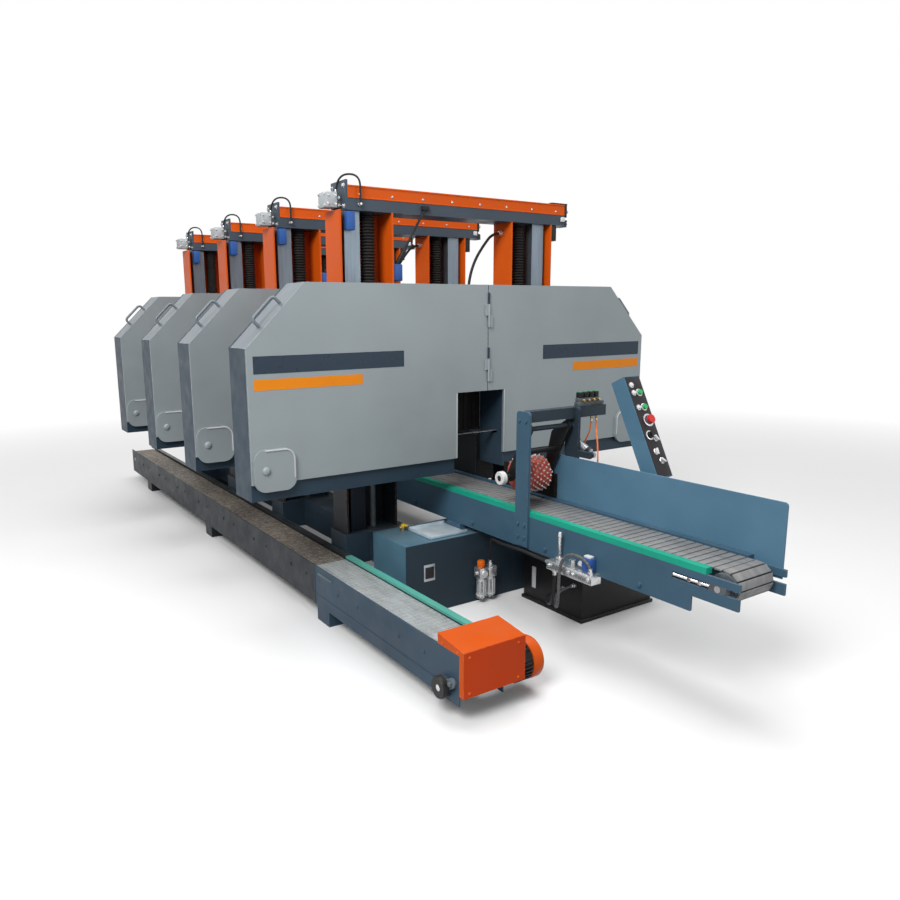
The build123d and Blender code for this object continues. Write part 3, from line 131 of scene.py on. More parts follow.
# Sizes shared with the frame
head_count = 4
head_pitch = 0.857
door_outer = {"left": -1.325, "right": 1.275}
door_bottom = 0.780
cover_side_inset = 0.008
cover_width = 0.207
cover_height = 0.200
cover_hang = 0.036
cover_proud = 0.015
cover_corner = 0.055
wheel_reach = 0.850
wheel_height = 1.245
wheel_radius = 0.3503
blade_front = 0.0745
blade_rear = 0.1105
blade_thickness = 0.0012
column_front = 0.240
column_middle = 0.320
screw_x = 0.515
screw_y = 0.315
beam_bottom = 2.068
beam_right = 0.815
bellows_bottom = 1.370
feed_half_width = 0.105
feed_plate_x = 0.150
drum_height = 0.537
idler_drum_y = -1.600
drive_drum_y = 3.670
feed_belt_radius = 0.0631
return_left = -0.957
return_right = -0.740
return_roller = (-1.005, 0.130)
return_motor_height = 0.140
bed_front = -0.130
bed_box_rear = 0.200
guard_front = -1.125
roller_axle = (0.0, -0.400, 0.745)
cylinder_foot = Vector((0.197, -0.640, 0.858))
cylinder_pin = Vector((0.197, -0.450, 0.945))
portal_y = -0.530
valve_top = 1.0892
filter_y = -0.166
panel_x = 0.260
panel_foot = (-0.985, 0.792)
panel_lean = 26.5

head_range = range(1, head_count + 1)
sides = {"left": -1, "right": 1}
to_left = (-1.0, 0.0, 0.0)
to_right = (1.0, 0.0, 0.0)
to_front = (0.0, -1.0, 0.0)
to_rear = (0.0, 1.0, 0.0)
upward = (0.0, 0.0, 1.0)
here = Matrix.Identity(4)
millimetres = Matrix.Scale(0.001, 4)
scene = bpy.context.scene
materials = {}


def evenly(start, step, count):
    """Places with an even step."""
    return tuple(start + step * number for number in range(count))


def scaled(radius, length, shares):
    """A turned profile from shares of a radius and a length."""
    return tuple((radius * wide, length * high) for wide, high in shares)


def head_shift(head):
    """The Y place of a head, counted from 1."""
    return head_pitch * (head - 1)


def from_point(x, y, z):
    """A place at a point of the frame for what is given in millimetres."""
    return Matrix.Translation((x, y, z)) @ millimetres


# What a piece stands for in the frame
stands_for = {
    "feed_belt": "conveyor_belts", "pleated_bellows": "screw_bellows", "lift_motor_boxes": "gearmotors",
    "press_roller_drum": "press_roller", "hydraulic_tank": "hydraulic_unit",
    "filter_heads": "filter_regulator", "lift_cable_1": "hoses",
}
stands_for.update((f"ribbed_motor_{head}", f"blade_motor_{head}") for head in head_range)
stands_for.update((f"toothed_blade_{head}", f"saw_blade_{head}") for head in head_range)

# Finishes of the frame's own nodes that show
node_finishes = {
    "column_paint": ("gantry_columns",), "post_steel": ("guide_posts",), "beam_slate_paint": ("top_beams",),
    "orange_paint": ("beam_covers",), "bed_blue_paint": ("bed_frame",),
    "steel_blue_paint": ("conveyor_frame",), "strip_plastic": ("edge_strips",),
    "fence_blue_paint": ("infeed_fence", "control_box"),
    "cast_iron_grey": ("lift_screws", "takeup_sets"), "portal_blue_paint": ("press_portal",),
    "return_blue_paint": ("return_frame",), "guard_orange_paint": ("chain_guard",),
    "black_paint": ("press_arm", "mode_selector"), "bright_steel": ("press_rod",),
    "lamp_green": ("start_button_upper", "start_button_lower"), "signal_red": ("emergency_stop",),
    "satin_steel": ("feed_idler_drum", "feed_drive_drum", "press_cylinder", "return_drive_roller",
                    "return_idler_roller", *(f"drive_wheel_{head}" for head in head_range),
                    *(f"idler_wheel_{head}" for head in head_range)),
    "dark_blue_paint": tuple(f"head_frame_{head}" for head in head_range),
}
for head in head_range:
    node_finishes[f"door_silver_{head}"] = (f"left_door_{head}", f"right_door_{head}")

# Belts: the circles (y, z, radius) they run round, clockwise seen from the right, their X span, the pitch,
# length and thickness of their slats, their ribs and their finish
belt_settings = {
    "feed_belt": (
        ((idler_drum_y, drum_height, feed_belt_radius), (drive_drum_y, drum_height, feed_belt_radius)),
        (-feed_half_width, feed_half_width), (0.0385, 0.0315, 0.0075), 0, "feed_slat"),
    "return_belt": (
        ((*return_roller, 0.0513), (-0.880, 0.225, 0.056), (4.155, 0.205, 0.076)),
        (-0.945, -0.774), (0.0300, 0.0280, 0.0055), 8, "return_slat"),
}
belt_turn_step = 5.0
slat_bevel = 0.0012
carcass_inset = 0.002
carcass_share = 0.6
rib_half = 0.006
rib_share = 0.3
rib_root = -0.001
rib_top = 0.0012

# Stripes on the first head's doors: the height of the middle, the width and the length
stripe_inset = 0.030
stripe_offset = 0.0002
stripe_thickness = 0.0006
stripe_sizes = {"slate": (1.330, 0.080, 0.800), "amber": (1.240, 0.050, 0.560)}

# Corner covers and notch strips of the doors; the pale bead along each cover's edge and the pale strips down
# the notch are painted highlights
bead_inset = 0.006
bead_radius = 0.0045
bead_steps = 8
cover_dome_inset = 0.066
cover_dome = (0.021, 0.012)
highlight_half_gap = 0.160
highlight_width = 0.007
highlight_depth = (-0.0030, -0.0003)
highlight_foot = 0.002
highlight_top = 1.133
highlight_bevel = 0.001

# Motors: a profile in shares of the radius and the length, and fins in millimetres
motor_core = 0.86
motor_shell = 0.99
motor_profile = (
    (0.97, 0.0), (0.97, 0.07), (motor_core, 0.09), (motor_core, 0.70), (motor_shell, 0.71),
    (motor_shell, 0.93), (0.93, 0.985), (0.80, 1.0), (0.78, 0.985), (0.62, 0.985), (0.60, 1.0), (0.42, 1.0),
    (0.40, 0.985), (0.25, 0.985), (0.23, 1.0), (0.05, 1.0),
)
motor_fins = 26
fin_span = (0.09, 0.69)
fin_half = 1.8
fin_root = 2.0
fin_bevel = 0.6

# Bolts in shares of the size across the flats: radius, top and rounding of the washer and of the head
washer_shares = (0.82, 0.14, 0.04)
hex_shares = (0.577, 0.75, 0.06)
washer_sides = 24
hex_sides = 6
dome_sides = 28
dome_steps = 6

# Blade teeth and bellows; a pleat is radii and shares of its pitch
tooth_pitch = 0.022
tooth_depth = 0.009
pleat_count = 44
pleat_outer = 0.042
pleat_inner = 0.032
bellows_bore = 0.0255
bellows_collar = 0.012
bellows_gap = 0.0005
bellows_sides = 32
bellows_smooth = 50.0
pleat = (
    (pleat_inner + 0.001, 0.12), (pleat_outer - 0.0015, 0.40), (pleat_outer, 0.5),
    (pleat_outer - 0.0015, 0.60), (pleat_inner + 0.001, 0.88),
)

# Press roller with its grooves and spikes
roller_half = 0.075
roller_radius = 0.0875
roller_bore = 0.0156
roller_rows = 7
roller_sides = 64
groove_depth = 0.003
groove_half = 0.003
groove_floor_half = 0.002
rim_depth = 0.006
rim_length = 0.004
spikes_round = 20
spike_sides = 8
spike_bevel = 0.0003
spike_root = 0.002
spike_height = 0.0105
spike_radii = (0.0062, 0.0012)

# Tables of fittings, all in millimetres: finish, slot, places and solids.  A box is two corners and its
# rounding; a rod two ends, its radius, sides, end radius and rounding; bolts and domes an axis, their sizes
# and their spots along X, Y and Z; a turned solid a point, an axis, its sides, whether its profile closes on
# itself, and (radius, height) pairs; fins a point, an axis, a count and a box; a motor a point, an axis, its
# radius and length; a plate a point, an axis, its thickness, rounding and outline.

# Curtain behind each notch, from the head's own place: finish and solids
curtain_pitch = 332 / 6
notch_fittings = {
    "notch_curtain": ("black_rubber", dict(boxes=(
        *(((x - 4, y, 885), (x + curtain_pitch + 4, y + 2.5, 1168), 0.6)
          for x, y in zip(evenly(-166, curtain_pitch, 6), (226.2, 229.2) * 3)),
        ((151.8, 226.2, 575), (275, 228.7, 860), 0.6)))),
    "curtain_clamp": ("satin_steel", dict(
        boxes=(((-171, 232.2, 1147), (171, 235.2, 1167), 1), ((170, 228.7, 838), (275, 231.7, 858), 1)),
        bolts=((to_rear, 8, evenly(-146, 73, 5), (235.2,), (1157,)),))),
}

# Solids of a blade motor, from the middle of its flange's front
blade_motor_solids = dict(
    boxes=(((-45, 110, 96), (45, 230, 168), 4), ((-48, 107, 169), (48, 233, 180), 3)),
    rods=(((45, 170, 135), (67, 170, 135), 12),),
    turned=(((0, 0, 0), to_rear, 64, False, ((127, 0), (130, 3), (130, 17), (127, 20))),),
    motors=(((0, 20, 0), to_rear, 120, 300),),
    bolts=tuple((to_rear, 13, (122 * math.cos(angle),), (20,), (122 * math.sin(angle),))
                for angle in evenly(math.pi / 8, math.pi / 4, 8)))

# Lift drives, covers and sensors of every gantry, from the beam's lower front edge or from its right end
beams = tuple(from_point(0.0, column_front + head_shift(head), beam_bottom) for head in head_range)
beam_ends = tuple(from_point(beam_right, column_front + head_shift(head), beam_bottom) for head in head_range)
gantry_fittings = {
    "lift_motor_boxes": ("motor_box_grey", "motor_grey", beams, dict(
        boxes=(((-770, 35, 11), (-704, 125, 87), 6), ((-764, 33.5, 21), (-712, 126.5, 77), 3)))),
    "lift_couplings": ("cast_iron_grey", "motor_grey", beams, dict(
        boxes=(((-704, 45, 11), (-677, 115, 75), 3),),
        rods=(((-690.5, 80, 75), (-690.5, 80, 93), 9, 28, 9, 2),))),
    "lift_screw_heads": ("bright_steel", "satin_steel", beams, dict(
        bolts=((to_left, 9, (-770,), (46, 114), (22, 76)), (to_front, 8, (-759, -716), (33.5,), (29, 69)),
               (to_front, 10, (-690.5,), (45,), (25, 61)), (to_left, 14, (-677,), (18, 142), (20, 118))))),
    "beam_rivets": ("satin_steel", "satin_steel", beams, dict(
        domes=((to_front, 7, 4, evenly(-595, 1340 / 7, 8), (0,), (78,)),))),
    "beam_cover_hems": ("orange_paint", "orange_paint", beams, dict(
        boxes=(((-665, -3, 112), (815, 6, 120.5), 2), ((-665, -3, 58), (815, 4, 64), 2)))),
    "limit_switches": ("black_paint", "black_paint", beam_ends, dict(
        boxes=(((6, 58, 34), (58, 102, 100), 4), ((-96, 6, -92), (-56, 50, -0.3), 3),
               ((-105, -2, 120), (22, 30, 128), 2), ((0.3, -2, 48), (20, 30, 128), 3)),
        rods=(((32, 80, 100), (32, 80, 118), 9), ((0, 14, 12), (34, 14, 12), 5),
              ((0, 14, 30), (34, 14, 30), 5)))),
    "limit_plugs": ("lamp_white", "satin_steel", beam_ends, dict(
        boxes=(((-34, -14, 20), (-6, -0.2, 48), 4),), rods=(((20, 14, 84), (34, 14, 84), 12),))),
    "sensor_housings": ("sensor_blue", "steel_blue_paint", beams, dict(
        boxes=(((-674, -4, -98), (-628, 29.7, -6), 4), ((-399.7, 10, -344), (-338, 70, -256), 6)))),
    "sensor_rods": ("cable_black", "black_rubber", beams, dict(
        boxes=(((-227, -18, 22), (-183, -0.2, 46), 4),),
        rods=(((-366, 26, -260), (-205, -10, 34), 6.5),
              ((-366, 26, -260), (-317.7, 15.2, -171.8), 12.5)))),
}

# Drives of the two conveyors; the return motor from its flange
whole_frame = (millimetres,)
return_motor = (from_point(return_right + 0.090, return_roller[0], return_motor_height),)
drive_fittings = {
    "conveyor_gearmotors": ("motor_grey", "motor_grey", whole_frame, dict(
        boxes=(((150, 3595, 462), (260, 3745, 612), 14), ((320, 3635, 603), (400, 3705, 637), 4),
               ((-740, -1060, 75), (-650, -950, 185), 10)),
        bolts=((to_right, 13, (260,), (3612, 3728), (479, 595)),),
        motors=(((260, 3670, 537), to_right, 75, 230),))),
    "return_motor_body": ("black_paint", "motor_grey", return_motor, dict(
        turned=(((0, 0, 0), to_right, 48, False, scaled(88, 1, ((0.9, 0), (0.9, 74), (0.6, 76)))),),
        fins=(((0, 0, 0), to_right, 30, (88 * 0.88, -2, 6), (88 * 0.99, 2, 72), fin_bevel),))),
    "return_motor_cowl": ("orange_paint", "orange_paint", return_motor, dict(
        turned=(((76, 0, 0), to_right, 56, False, scaled(88, 1, (
            (0.98, 0), (1, 3), (1, 47), (0.94, 56), (0.82, 59), (0.80, 55), (0.64, 55), (0.62, 59),
            (0.44, 59), (0.42, 55), (0.26, 55), (0.24, 59), (0.05, 59)))),))),
}

# Hold-down press: the axle's ends from its middle, the cylinder's caps from its foot, and what they ride on
axle_place = (from_point(*roller_axle),)
cylinder_place = (from_point(*cylinder_foot),)
cylinder_way = (cylinder_pin - cylinder_foot).normalized()
riders = {"axle_end_ring": "press_arm", "axle_end_cap": "press_arm", "cylinder_end_caps": "press_cylinder"}
press_fittings = {
    "axle_end_ring": ("white_enamel", "black_paint", axle_place, dict(
        turned=(((-198.5, 0, 0), to_right, 48, True, (
            (15, 0), (31, 0), (34, 3), (34, 26.2), (32.3, 26.2), (32.3, 3.2), (15, 3.2))),))),
    "axle_end_cap": ("black_paint", "black_paint", axle_place, dict(
        domes=((to_left, 14.5, 5.5, (-195.3,), (0,), (0,)),))),
    "cylinder_end_caps": ("black_paint", "satin_steel", cylinder_place, dict(
        turned=tuple((cylinder_way * start, cylinder_way, 36, True, (
            (20.3, 0), (22.8, 0), (22.8, 18), (20.3, 18))) for start in (21.5, 114.5)))),
}

# Air valves, from the top of the portal's crossbar
crossbar = (from_point(0.0, portal_y, valve_top),)
valve_spots = (207, 243, 279, 315)
valve_fittings = {
    "valve_bank_blocks": ("cast_iron_grey", "satin_steel", crossbar, dict(
        boxes=(((190, -20, 0), (352, 20, 20), 2),
               *(((x - 13, -18, 20), (x + 13, 18, 40), 2) for x in valve_spots)),
        rods=(((352, 0, 10), (372, 0, 10), 8.5, 20),))),
    "valve_bank_coils": ("black_paint", "black_paint", crossbar, dict(
        boxes=tuple(((x - 12, -15, 40), (x + 12, 15, 68), 3) for x in valve_spots))),
    "valve_bank_lamps": ("lamp_green", "button_green", crossbar, dict(
        boxes=tuple(((x - 6, -8, 68), (x + 6, 8, 72), 1) for x in valve_spots))),
    "valve_bank_fittings": ("brass", "satin_steel", crossbar, dict(
        rods=(*(((x, -18, 30), (x, -34, 30), 6, 6) for x in valve_spots),
              *(((x, 0, -54), (x, 0, -70.2), 8.5, 6) for x in (295, 330))))),
}

# Control panel, in millimetres across and down its face; a moving control has half its opening, a knob its
# turn, and a gland its finish, its place across and its length
panel_width = 105
panel_length = 508
panel_margin = 4
panel_gap = 0.2
panel_face = 2.5
panel_bevel = 0.5
panel_controls = ((65.5, 86, 13.8), (65.5, 160, 13.8), (65.5, 226, 23.2), (39.5, 300, 17.2))
panel_lamps = ((27.5, 46), (27.5, 86), (27.5, 160))
panel_knobs = ((71.5, 318, 0.6), (45.5, 382, 0.0), (65.5, 428, 0.9))
panel_glands = {"panel_gland": ("signal_yellow", 58, 16), "panel_plug": ("orange_paint", 82, 22)}
bezel_sides = 40
lamp_sides = 32
knob_sides = 36
gland_sides = 20
gland_depth = -20
gland_radii = (11, 9)
bezel_flare = (1.36, 1.2)
bezel_heights = (1.4, 3.0)
lamp_profile = ((10.5, 0), (10.5, 6), (8.5, 9.5), (3, 11))
lamp_collar = ((10.7, 0), (14.5, 0), (14, 3), (10.7, 3.5))
knob_collar = ((16, 0), (16, 2), (14, 4.5), (4, 4.5))
knob_grip = ((-4.5, -15, 4.5), (4.5, 15, 14.5), 1.5)

# Hydraulic unit
port_spots = (-585, -544, -503)
hydraulic_fittings = {
    "hydraulic_tank": ("black_paint", "black_paint", whole_frame, dict(
        boxes=(((127, -669, 2), (651, -230, 244), 6), ((121, -675, 244), (657, -224, 250), 2),
               ((119, -677, 0), (659, -222, 18), 3)),
        rods=(((570, -590, 250), (570, -590, 272), 34, 36, 34, 3),
              ((570, -590, 272), (570, -590, 302), 26, 12, 26, 4)))),
    "pump_motor": ("motor_grey", "motor_grey", whole_frame, dict(
        boxes=(((360, -514.5, 250), (520, -384.5, 280), 4), ((385, -499.5, 280), (495, -399.5, 310), 4),
               ((400, -494.5, 415), (480, -404.5, 455), 5)),
        motors=(((440, -579.5, 350), to_rear, 80, 260),))),
    "hydraulic_fittings": ("bright_steel", "satin_steel", whole_frame, dict(
        boxes=(((187, -609, 250), (297, -479, 310), 3), ((-210, -1040, 386), (-150, -760, 430), 3)),
        rods=(*(((187, y, 280), (168, y, 280), 12, 6) for y in port_spots),
              *(((242, y, 310), (242, y, 332), 13, 6) for y in port_spots),
              ((-180, -815, 430), (-180, -815, 452), 16, 6), ((-180, -815, 452), (-180, -815, 545), 7.5),
              ((-180, -815, 545), (-180, -815, 570), 12, 28, 8),
              ((-180, -895, 430), (-180, -895, 462), 15, 6)),
        bolts=((to_left, 12, (-210,), (-1020, -930, -900, -780), (408,)),))),
    "valve_coil": ("sensor_blue", "steel_blue_paint", whole_frame, dict(
        boxes=(((-190, -1012, 430), (-150, -958, 492), 6), ((-196, -998, 444), (-190, -972, 482), 3)))),
    "valve_plug": ("lamp_white", "satin_steel", whole_frame, dict(
        boxes=(((-184, -1004, 492), (-156, -966, 502), 3),),
        rods=(((-170, -955, 452), (-170, -930, 452), 12, 18),))),
    "tank_level_glass": ("lamp_white", "filter_grey", whole_frame, dict(
        boxes=(((123, -330, 80), (127, -300, 200), 2),))),
}

# Air filter and oiler, from the floor under each or under the filter
filter_spots = (-122, -60)
filters = tuple(from_point(x / 1000, filter_y, 0.0) for x in filter_spots)
guard_bars = tuple((25.2 * math.cos(angle), 25.2 * math.sin(angle)) for angle in (-2.4, -1.57, -0.75))
filter_fittings = {
    "filter_heads": ("bright_steel", "satin_steel", whole_frame, dict(
        boxes=(*(((x - 28, -194, 144), (x + 28, -138, 202), 6) for x in filter_spots),
               *(((x - 14, -166, 148), (x + 14, -130.3, 198), 1) for x in filter_spots)),
        rods=(*(((x, -166, 144), (x, -166, 128), 27, 40, 25.5) for x in filter_spots),
              *(((x, -166, 36), (x, -166, 23.5), 8, 16) for x in filter_spots),
              ((-150, -166, 173), (-164, -166, 173), 10, 6), ((-60, -166, 202), (-60, -166, 218), 11, 6)))),
    "filter_bowls": ("clear_bowl", "filter_grey", filters, dict(
        turned=(((0, 0, 24), upward, 40, False, ((8, 0), (19, 2), (23.5, 10), (24, 20), (24, 105.5))),))),
    "filter_guards": ("lamp_white", "filter_grey", filters, dict(
        boxes=tuple(((x - 4, y - 1.2, 36), (x + 4, y + 1.2, 128), 1) for x, y in guard_bars),
        turned=(((0, 0, 44), upward, 40, True, ((24.2, 0), (26.2, 0), (26.2, 8), (24.2, 8))),))),
    "filter_knob": ("knob_orange", "orange_paint", filters[:1], dict(
        turned=(((0, 0, 202), upward, 40, False, ((15, 0), (15, 4), (18.8, 6), (18.8, 32), (16.5, 38))),),
        fins=(((0, 0, 202), upward, 18, (18, -1.8, 8), (20.4, 1.8, 34), 0.8),))),
    "filter_gauge": ("lamp_white", "filter_grey", filters[:1], dict(
        turned=(((0, -28, 174), to_front, 36, False, ((17, 0), (17, 10), (15, 12), (14.5, 10.5))),))),
}

# Bed: tray liner and drain; blank plate and lifting ring from its front
bed_face = (from_point(0.0, bed_front, 0.0),)
ring_line = tuple((-420 + 30 * math.cos(angle), -12, 30 + 30 * math.sin(angle))
                  for angle in evenly(0.0, math.pi / 14, 15))
bed_fittings = {
    "drip_tray_liner": ("tray_steel", "steel_blue_paint", whole_frame, dict(
        boxes=(((-406.5, -99, 389.3), (-166, 119, 391.5), 0.8),
               ((-406.5, -99, 389.3), (-166, -96, 405.3), 1),
               ((-406.5, 116, 389.3), (-166, 119, 405.3), 1),
               ((-406.5, -99, 389.3), (-403.5, 119, 405.3), 1)))),
    "blank_plate": ("satin_steel", "satin_steel", bed_face, dict(
        boxes=(((-470, -2.6, 178), (-400, -0.2, 268), 1),),
        domes=((to_front, 3, 1.6, (-463, -407), (-2.6,), (185, 261)),))),
    "blank_plate_face": ("panel_black", "black_paint", bed_face, dict(
        boxes=(((-462, -3.4, 192), (-408, -2.4, 254), 0.4),))),
    "lifting_ring": ("bright_steel", "satin_steel", bed_face, dict(
        rods=(*((start, end, 6, 14, 6, 0) for start, end in zip(ring_line, ring_line[1:])),
              *(((x, -0.2, 30), (x, -20, 30), 10, 20) for x in (-450, -390))))),
    "drain_valve": ("brass", "satin_steel", whole_frame, dict(
        rods=(((-430, 135, 385.2), (-430, 135, 412), 12, 6), ((-452, 135, 405), (-408, 135, 405), 10, 18)))),
    "drain_lever": ("signal_yellow", "orange_paint", whole_frame, dict(
        boxes=(((-440, 110, 412), (-420, 142, 420), 2), ((-438, 90, 420), (-422, 140, 425), 2)))),
}

# Conveyors: feed plates and take-up screws; plates and bearing from the return conveyor's left face
feed_plate = (from_point(feed_plate_x, 0.0, 0.0),)
takeup = (from_point(0.0, 0.0, drum_height),)
return_face = (from_point(return_left, 0.0, 0.0),)
bearing = (from_point(return_left, *return_roller),)
takeup_screws = (-138, 138)
thread_profile = tuple(
    ring for foot in evenly(0, 5, 33) for ring in ((7.1, foot), (8.3, foot + 2.5)))
bearing_slope = math.radians(-32.0)
bearing_y = 66 * math.cos(bearing_slope)
bearing_z = 66 * math.sin(bearing_slope)
bearing_outline = tuple(
    (-end * bearing_y - 20 * math.cos(angle), end * bearing_z + 20 * math.sin(angle))
    for end, turn in ((1, -math.pi / 2), (-1, math.pi / 2))
    for angle in evenly(bearing_slope + turn, math.pi / 12, 13))
conveyor_fittings = {
    "conveyor_bolts": ("steel_blue_paint", "steel_blue_paint", whole_frame, dict(
        bolts=((to_left, 16, (-150,), evenly(-1250, 560, 9), (448,)),
               (to_right, 16, (150,), evenly(-950, 560, 9), (448,))))),
    "return_rivets": ("return_blue_paint", "steel_blue_paint", return_face, dict(
        domes=((to_left, 11, 6, (0,), evenly(-660, 560, 9), (206,)),
               (to_left, 8, 5, (0,), evenly(-858, 560, 9), (210,))))),
    # painted shade: a black sheet set along the belt's right side where the view lies in shade
    "shade_skirt": ("black_rubber", "black_rubber", feed_plate, dict(
        boxes=(((-7.5, -450, 580.2), (-3.5, -30, 735), 1),))),
    "takeup_threads": ("bright_steel", "satin_steel", takeup, dict(
        turned=tuple(((x, -1564.8, 0), to_rear, 20, False, thread_profile) for x in takeup_screws),
        rods=tuple(((x, y, 0), (x, y + 14, 0), 13.2, 6) for x in takeup_screws for y in (-1482.5, -1530)))),
    "return_plate_lip": ("return_blue_paint", "steel_blue_paint", return_face, dict(
        boxes=(((-2.5, -930, 131), (-0.2, 150, 137), 1), ((-2.5, 150, 80), (-0.2, 158, 286), 1)))),
    "return_plate_strap": ("flange_grey", "steel_blue_paint", return_face, dict(
        boxes=(((-4, -40, 246), (-0.2, 110, 258), 1.5),))),
    "bearing_flange": ("flange_grey", "steel_blue_paint", bearing, dict(
        plates=(((0, 0, 0), to_left, 12, 1, bearing_outline[::-1]),),
        bolts=tuple((to_left, 18, (-12,), (end * bearing_y,), (end * bearing_z,)) for end in (-1, 1)))),
    "bearing_cap": ("black_paint", "black_rubber", bearing, dict(
        turned=(((-12, 0, 0), to_left, 48, True, (
            (42.2, 0), (45, 0), (45, 20), (41.5, 25.5), (16, 25.5), (16, 22.4), (42.2, 22.4))),))),
    "bearing_shaft_end": ("bright_steel", "satin_steel", bearing, dict(
        domes=((to_left, 14.5, 4, (-34.3,), (0,), (0,)),))),
    "guard_screws": ("orange_paint", "orange_paint", whole_frame, dict(
        domes=((to_left, 6, 3, (-957.2,), (-1085, -985), (296,)),
               (to_front, 6, 3, (-930, -690), (-1125.2,), (140, 285))))),
}

# Cords: radius, length, stiffness, finish and route; the first two from the middle of each head's columns
head_cords = {
    "lift_cable": (0.0050, 0.366, "medium", "cable_black", (
        (-0.6905, 0.0, 2.143), (-0.6905, 0.0, 2.243), (-0.605, -0.102, 2.243), (-0.605, -0.102, 2.119),
        (-0.605, -0.102, 2.097), (-0.605, -0.080, 2.097))),
    "motor_cable": (0.0080, 0.826, "medium", "cable_black", (
        (0.400, 0.0, 2.011), (0.330, 0.0, 2.011), (0.262, 0.0, 1.940), (0.195, 0.0, 1.850),
        (0.155, 0.0, 1.740), (0.150, 0.0, 1.620), (0.205, 0.0, 1.520), (0.305, 0.0, 1.470),
        (0.400, 0.0, 1.470))),
}
single_cords = {
    "arch_hose": (0.0070, 0.891, "stiff", "braided_hose", (
        (-0.203, -1.027, 0.430), (-0.203, -1.027, 0.500), (-0.225, -0.860, 0.500), (-0.225, -0.860, 0.230),
        (-0.150, -0.760, 0.190), (0.0, -0.620, 0.190), (0.127, -0.620, 0.190))),
    "drop_hose": (0.0070, 0.585, "stiff", "cable_black", (
        (-0.180, -0.785, 0.386), (-0.180, -0.785, 0.250), (-0.130, -0.700, 0.160), (0.0, -0.540, 0.150),
        (0.127, -0.540, 0.150))),
    "air_hose": (0.0070, 0.754, "medium", "cable_black", (
        (-0.060, -0.166, 0.202), (-0.060, -0.166, 0.290), (-0.150, -0.270, 0.400), (-0.205, -0.430, 0.415),
        (-0.200, -0.590, 0.425), (-0.180, -0.680, 0.408), (-0.180, -0.760, 0.408))),
    "front_press_tube": (0.0040, 0.661, "medium", "orange_tube", (
        (0.330, -0.530, 1.035), (0.330, -0.530, 0.965), (0.290, -0.585, 0.880), (0.235, -0.640, 0.780),
        (0.215, -0.660, 0.640), (0.215, -0.660, 0.475), (0.150, -0.660, 0.475))),
    "rear_press_tube": (0.0040, 0.634, "medium", "orange_tube", (
        (0.295, -0.530, 1.035), (0.295, -0.530, 0.965), (0.280, -0.500, 0.890), (0.240, -0.460, 0.780),
        (0.215, -0.445, 0.640), (0.215, -0.445, 0.475), (0.150, -0.445, 0.475))),
}
nut_length = 0.014
collar_end = 0.030
nut_share = 1.75
collar_share = 1.30
collar_sides = 20
ferrule_bevel = 0.0006


# Node helpers
def feed(tree, node, inputs):
    """Gives inputs of a node a value or another node's output."""
    for key, value in inputs.items():
        if isinstance(value, bpy.types.NodeSocket):
            tree.links.new(value, node.inputs[key])
        else:
            node.inputs[key].default_value = value


def wire(tree, kind, inputs, output=0, **settings):
    """One output of a new node with its settings and inputs."""
    node = tree.nodes.new(f"ShaderNode{kind}")
    for name, value in settings.items():
        setattr(node, name, value)
    feed(tree, node, inputs)
    return node.outputs[output]


def noise(tree, scale, detail=4.0, stretch=(1.0, 1.0, 1.0)):
    """A noise factor in object space, stretched along the axes."""
    place = wire(tree, "TexCoord", {}, "Object")
    mapped = wire(tree, "Mapping", {"Vector": place, "Scale": stretch})
    return wire(tree, "TexNoise", {"Vector": mapped, "Scale": scale, "Detail": detail}, "Fac")


def remap(tree, value, low, high, to_low=0.0, to_high=1.0):
    """A value mapped from one range to another and clamped."""
    return wire(tree, "MapRange", {"Value": value, "From Min": low, "From Max": high, "To Min": to_low,
                                   "To Max": to_high}, "Result")


def times(tree, first, second):
    """The product of two values."""
    return wire(tree, "Math", {0: first, 1: second}, operation="MULTIPLY")


def mix(tree, factor, first, second):
    """Two colours mixed by a factor; a colour is an output or three numbers."""
    colours = [(*colour, 1.0) if isinstance(colour, tuple) else colour for colour in (first, second)]
    return wire(tree, "Mix", {"Factor": factor, 6: colours[0], 7: colours[1]}, 2, data_type="RGBA")


def shade(colour, share):
    """A colour made lighter or darker."""
    return tuple(min(1.0, part * share) for part in colour)


def edge_wear_and_highlight_mask(tree, width):
    """High along convex and concave edges, broken up by noise; it lightens edges as chipped paint and as a
    painted highlight.
    """
    rounded = wire(tree, "Bevel", {"Radius": width}, "Normal", samples=edge_samples)
    flat = wire(tree, "NewGeometry", {}, "Normal")
    dot = wire(tree, "VectorMath", {0: rounded, 1: flat}, "Value", operation="DOT_PRODUCT")
    return times(tree, remap(tree, dot, *edge_band), remap(tree, noise(tree, *edge_noise), *edge_break))


def dust_mask(tree, amount):
    """High where a face looks up and dust has settled."""
    height = wire(tree, "SeparateXYZ", {"Vector": wire(tree, "NewGeometry", {}, "Normal")}, "Z")
    cloud = remap(tree, noise(tree, *dust_noise), *dust_band)
    return times(tree, times(tree, remap(tree, height, *dust_slope), cloud), amount)


def relief(tree, height, distance):
    """The normal of small relief."""
    return wire(tree, "Bump", {"Height": height, "Distance": distance}, "Normal")


def beyond(tree, axis, place):
    """One past a place on an axis of the frame, nought before it."""
    along = wire(tree, "SeparateXYZ", {"Vector": wire(tree, "TexCoord", {}, "Object")}, axis)
    return remap(tree, along, place - zone_blur, place + zone_blur)


def new_material(name):
    """A new finish, kept under its name: its node tree and its main shader."""
    materials[name] = bpy.data.materials.new(name)
    materials[name].use_nodes = True
    tree = materials[name].node_tree
    return tree, tree.nodes["Principled BSDF"]


